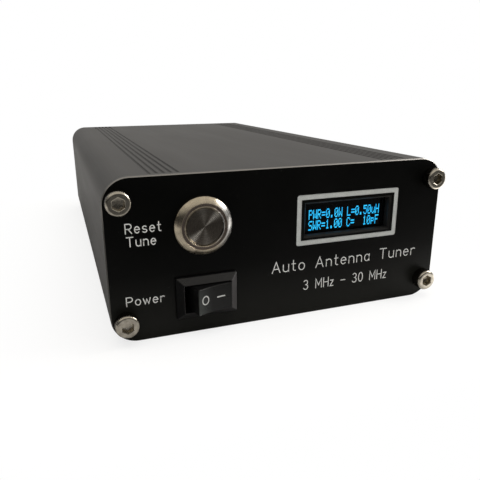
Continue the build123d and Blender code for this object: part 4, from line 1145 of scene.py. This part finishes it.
def pan_screw(x, z, seat):
    """Pan-head screw with a cross recess and a threaded shank."""
    top = seat + 1.9
    recess = ((0.35, 1.0, 0.35), (0.55, 0.95, 0.30), (0.9, 0.8, 0.28), (1.3, 0.55, 0.26), (1.6, 0.3, 0.25))
    rings = [(0, top - 1.0)]
    for radius, depth, half in recess:
        rings.append(notch(radius, top - 0.12 * (radius / 2.2) ** 2, depth, half))
    rings += [
        (1.68, top - 0.07), (2.1, top - 0.14), (2.4, top - 0.32), (2.62, top - 0.62), (2.73, top - 1.0),
        (2.75, seat + 0.3), (2.72, seat), (SHANK_RADIUS, seat),
    ]
    return polar(rings + shank(seat, 1, 0.3, 10.0, 0.3), x, z, 96)


def socket_hardware(zinc):
    """The eight screws that hold the sockets."""
    seat = box("rear_panel")[1].y + FLANGE_THICK + 0.04
    parts = []
    for which in ("antenna", "radio"):
        middle = centre(which + "_socket_shell")
        for side_x in (-FLANGE_HOLES, FLANGE_HOLES):
            for side_z in (-FLANGE_HOLES, FLANGE_HOLES):
                parts.append(pan_screw(middle.x + side_x, middle.z + side_z, seat))
    piece("socket_pan_screws", parts, zinc, "case", 30.0, "socket_screws")


# --- windings inside the case

def wound_ring(middle, along, across, outer, inner, half, turns, start, span):
    """One continuous wire wound round a ring core, from a start angle over a span in degrees."""
    reach, rise = (outer - inner) / 2 + WIRE_CLEARANCE, half + WIRE_CLEARANCE
    side = along.cross(across)
    steps = turns * 16
    points = []
    for i in range(steps + 1):
        a = 2 * pi * i / 16
        grow = 1 / (abs(cos(a)) ** 4 + abs(sin(a)) ** 4) ** 0.25
        angle = radians(start + span * i / steps)
        radius = (outer + inner) / 2 + reach * cos(a) * grow
        points.append(middle + across * radius * cos(angle) + side * radius * sin(angle)
                      + along * rise * sin(a) * grow)
    return tube(points, WIRE_RADIUS, 7)


def windings(copper):
    """Continuous windings that stand for the looped ones of the CAD."""
    x_axis, y_axis, z_axis = Vector((1, 0, 0)), Vector((0, 1, 0)), Vector((0, 0, 1))
    low = box("toroid_cores")[0]
    middle = centre("toroid_cores")
    parts = []
    for i, turns in enumerate((18, 15, 11)):
        place = Vector((low.x + 2.4 + CORE_PITCH * i, middle.y, middle.z))
        parts.append(wound_ring(place, x_axis, y_axis, 8.75, 4.7, 2.4, turns, -55.0, 290.0))
    piece("toroid_wire", parts, copper, "case", 32.0, "toroid_windings")
    low, high = box("coupler_cores")
    middle = centre("coupler_cores")
    parts = []
    for x in (low.x + 6.35, high.x - 6.35):
        place = Vector((x, middle.y, middle.z))
        parts.append(wound_ring(place, y_axis, z_axis, 6.35, 3.55, 2.4, 10, 40.0, 280.0))
    piece("coupler_wire", parts, copper, "case", 32.0, "coupler_windings")


# --- stage, light and camera

def stage():
    """Pale plain floor that fades to white.

    Reflections see painted levels in place of its colour: dimmer, almost dark in front, as in a room lit
    mainly from above.
    """
    mesh = bpy.data.meshes.new("floor")
    mesh.from_pydata([(-6, -6, 0), (6, -6, 0), (6, 6, 0), (-6, 6, 0)], [], [(0, 1, 2, 3)])
    look = principled("pale_floor", FLOOR_PALE, 0.0, 0.8, 0.1)
    x, y = look.place("X"), look.place("Y")
    # Painted reflections: glossy rays see these levels, brighter out to each side of the front, with painted
    # shade close to the case's left side
    near = y.spread(0.0, REFLECTED_NEAR, -0.165, -0.085) * x.spread(0.75, 1.0, -0.10, -0.045)
    skirt = x.spread(1.0, 0.85, -0.060, -0.046).or_more(y.spread(1.0, 0.0, -0.078, -0.070))
    right = x.spread(0.0, REFLECTED_RIGHT, 0.025, 0.06) * y.spread(0.0, 1.0, -0.102, -0.088)
    left = x.spread(REFLECTED_LEFT, 0.0, -0.10, -0.065) * y.spread(0.0, 1.0, -0.19, -0.14)
    level = (near * skirt).or_more(right).or_more(left).or_more(REFLECTED_LEAST)
    reflected = look.node("CombineColor", {0: level, 1: level, 2: level})
    paper = look.mix(look.noise(900.0).spread(), FLOOR_PALE, (0.89, 0.89, 0.885))
    glossy = look.node("LightPath", {}, "Is Glossy Ray")
    look.surface(colour=look.mix(glossy, paper, reflected))
    beside = look.vector("SUBTRACT", look.vector("ABSOLUTE", look.place()), FOOTPRINT)
    far = look.vector("LENGTH", look.vector("MAXIMUM", beside), output="Value")
    fade = far.spread(0.78, 1.0, 0.0, 0.04) * glossy.sibling("Is Camera Ray")
    lit = Value(look, look.tree.nodes["Principled BSDF"].outputs[0])
    white = look.node("Emission", {"Color": (1.0, 1.0, 1.0)})
    shown = look.node("MixShader", {0: fade, 1: lit, 2: white})
    look.feed(look.tree.nodes["Material Output"].inputs["Surface"], shown)
    mesh.materials.append(look.owner)
    placed("floor", mesh)


def area_light(name, place, target, size, power, colour):
    """Soft rectangular light aimed at a point; places and sizes in metres."""
    data = bpy.data.lights.new(name, "AREA")
    data.shape = "RECTANGLE"
    data.size, data.size_y = size
    data.energy = power
    data.color = colour
    made = placed(name, data)
    made.location = place
    made.rotation_euler = (Vector(target) - Vector(place)).to_track_quat("-Z", "Y").to_euler()
    return made


def lights():
    """Small key light on the right, overhead softbox, and a surround brighter above and behind."""
    area_light("key", (0.68, -0.08, 0.41), (-0.02, -0.077, 0.026), (0.34, 0.34), 4.5, (1.0, 0.98, 0.95))
    over = area_light("overhead", (0.0, -0.05, 1.0), (0, 0, 0), (1.3, 1.1), 9.0, (1.0, 0.985, 0.96))
    over.visible_glossy = False
    world = bpy.data.worlds.new("surround")
    bpy.context.scene.world = world
    surround = Look(world)
    direction = surround.node("TexCoord", {}, "Generated")
    behind = surround.part(direction, "Y").spread(0.0, 0.37, 0.2, 0.9)
    above = surround.part(direction, "Z").spread(0.0, 0.62, 0.25, 0.75)
    right = surround.part(direction, "X").spread(0.0, 0.30, 0.4, 0.95)
    level = (behind + above + right).or_more(0.04)
    warm = surround.mix(above, (1.0, 0.985, 0.95), (1.0, 0.93, 0.82))
    grey = surround.node("VectorMath", {0: warm, "Scale": level}, operation="SCALE")
    seen = surround.node("LightPath", {}, "Is Camera Ray")
    background = surround.tree.nodes["Background"].inputs["Color"]
    surround.feed(background, surround.mix(seen, grey, (1.0, 1.0, 1.0)))


def camera():
    """Camera at the photograph's viewing angle."""
    data = bpy.data.cameras.new("camera")
    data.lens = LENS
    data.sensor_width = SENSOR
    data.clip_start = CLIP_START
    made = placed("camera", data)
    turn = (Matrix.Rotation(CAMERA_TURN, 3, "Z") @ Matrix.Rotation(CAMERA_PITCH, 3, "X")
            @ Matrix.Rotation(CAMERA_ROLL, 3, "Y"))
    right, forward, up = turn.col[0], turn.col[1], turn.col[2]
    rotation = Matrix((right, up, -forward)).transposed()
    made.matrix_world = Matrix.Translation(CAMERA_PLACE) @ rotation.to_4x4()
    bpy.context.scene.camera = made
    bpy.context.scene.view_settings.view_transform = "Standard"


# --- the scene

plain = {}
for name, colour, smooth, rough, names in METALS:
    plain[name] = dress(brushed_metal(name, colour, smooth, rough), names)
for name, colour, rough, specular, names in PLASTICS:
    plain[name] = dress(moulded_plastic(name, colour, rough, specular), names)
dress(anodised_shell(), "top_shell bottom_shell")
dress(anodised_plate("anodised_front", True), "front_panel")
dress(anodised_plate("anodised_rear"), "rear_panel")
dress(dark_glass(), "display_glass")
dress(circuit_board("blue_board", (0.01, 0.04, 0.22), (0.03, 0.09, 0.36)), "display_board")
dress(circuit_board("green_board", (0.015, 0.13, 0.05), (0.05, 0.24, 0.10)), "main_board")
dress(coloured_wires("power_insulation", (0.45, 0.01, 0.01), (0.015, 0.015, 0.015), (0.5, 0.30, 0.02)),
      "power_wires")
dress(coloured_wires("signal_insulation", (0.5, 0.32, 0.02), (0.02, 0.2, 0.05), (0.5, 0.5, 0.48),
                     (0.02, 0.05, 0.3)), "button_wires display_cable")

stainless = screw_steel().owner
case_screws("front_panel_screws", -1, stainless)
case_screws("rear_panel_screws", 1, stainless)
# Painted light on both: a painted shade colour and painted highlight masks, and on the flange a cooler
# painted reflection towards the right
flange = turned_metal("button_flange", (0.73, 0.645, 0.49), (0.84, 0.83, 0.81), (0.36, 0.295, 0.25),
                      0.23, 0.55, 0.0015, flange_painted_light)
cap = turned_metal("button_cap", CAP_METAL, CAP_METAL, (0.17, 0.15, 0.128), 0.24, 0.85, 0.0025, cap_painted_highlights)
button(flange.owner, cap.owner, plain["spring_steel"])
rocker(bezel_plastic().owner, paddle_plastic().owner, plain["printed_marks"])
lettering(engraving_paint().owner)
read_out(lit_dots().owner)
for which in ("antenna", "radio"):
    coaxial_socket(which, plain["nickel_plate"], plain["gold_plate"], plain["white_plastic"])
socket_hardware(plain["zinc_plate"])
windings(plain["enamelled_copper"])
stage()
lights()
camera()
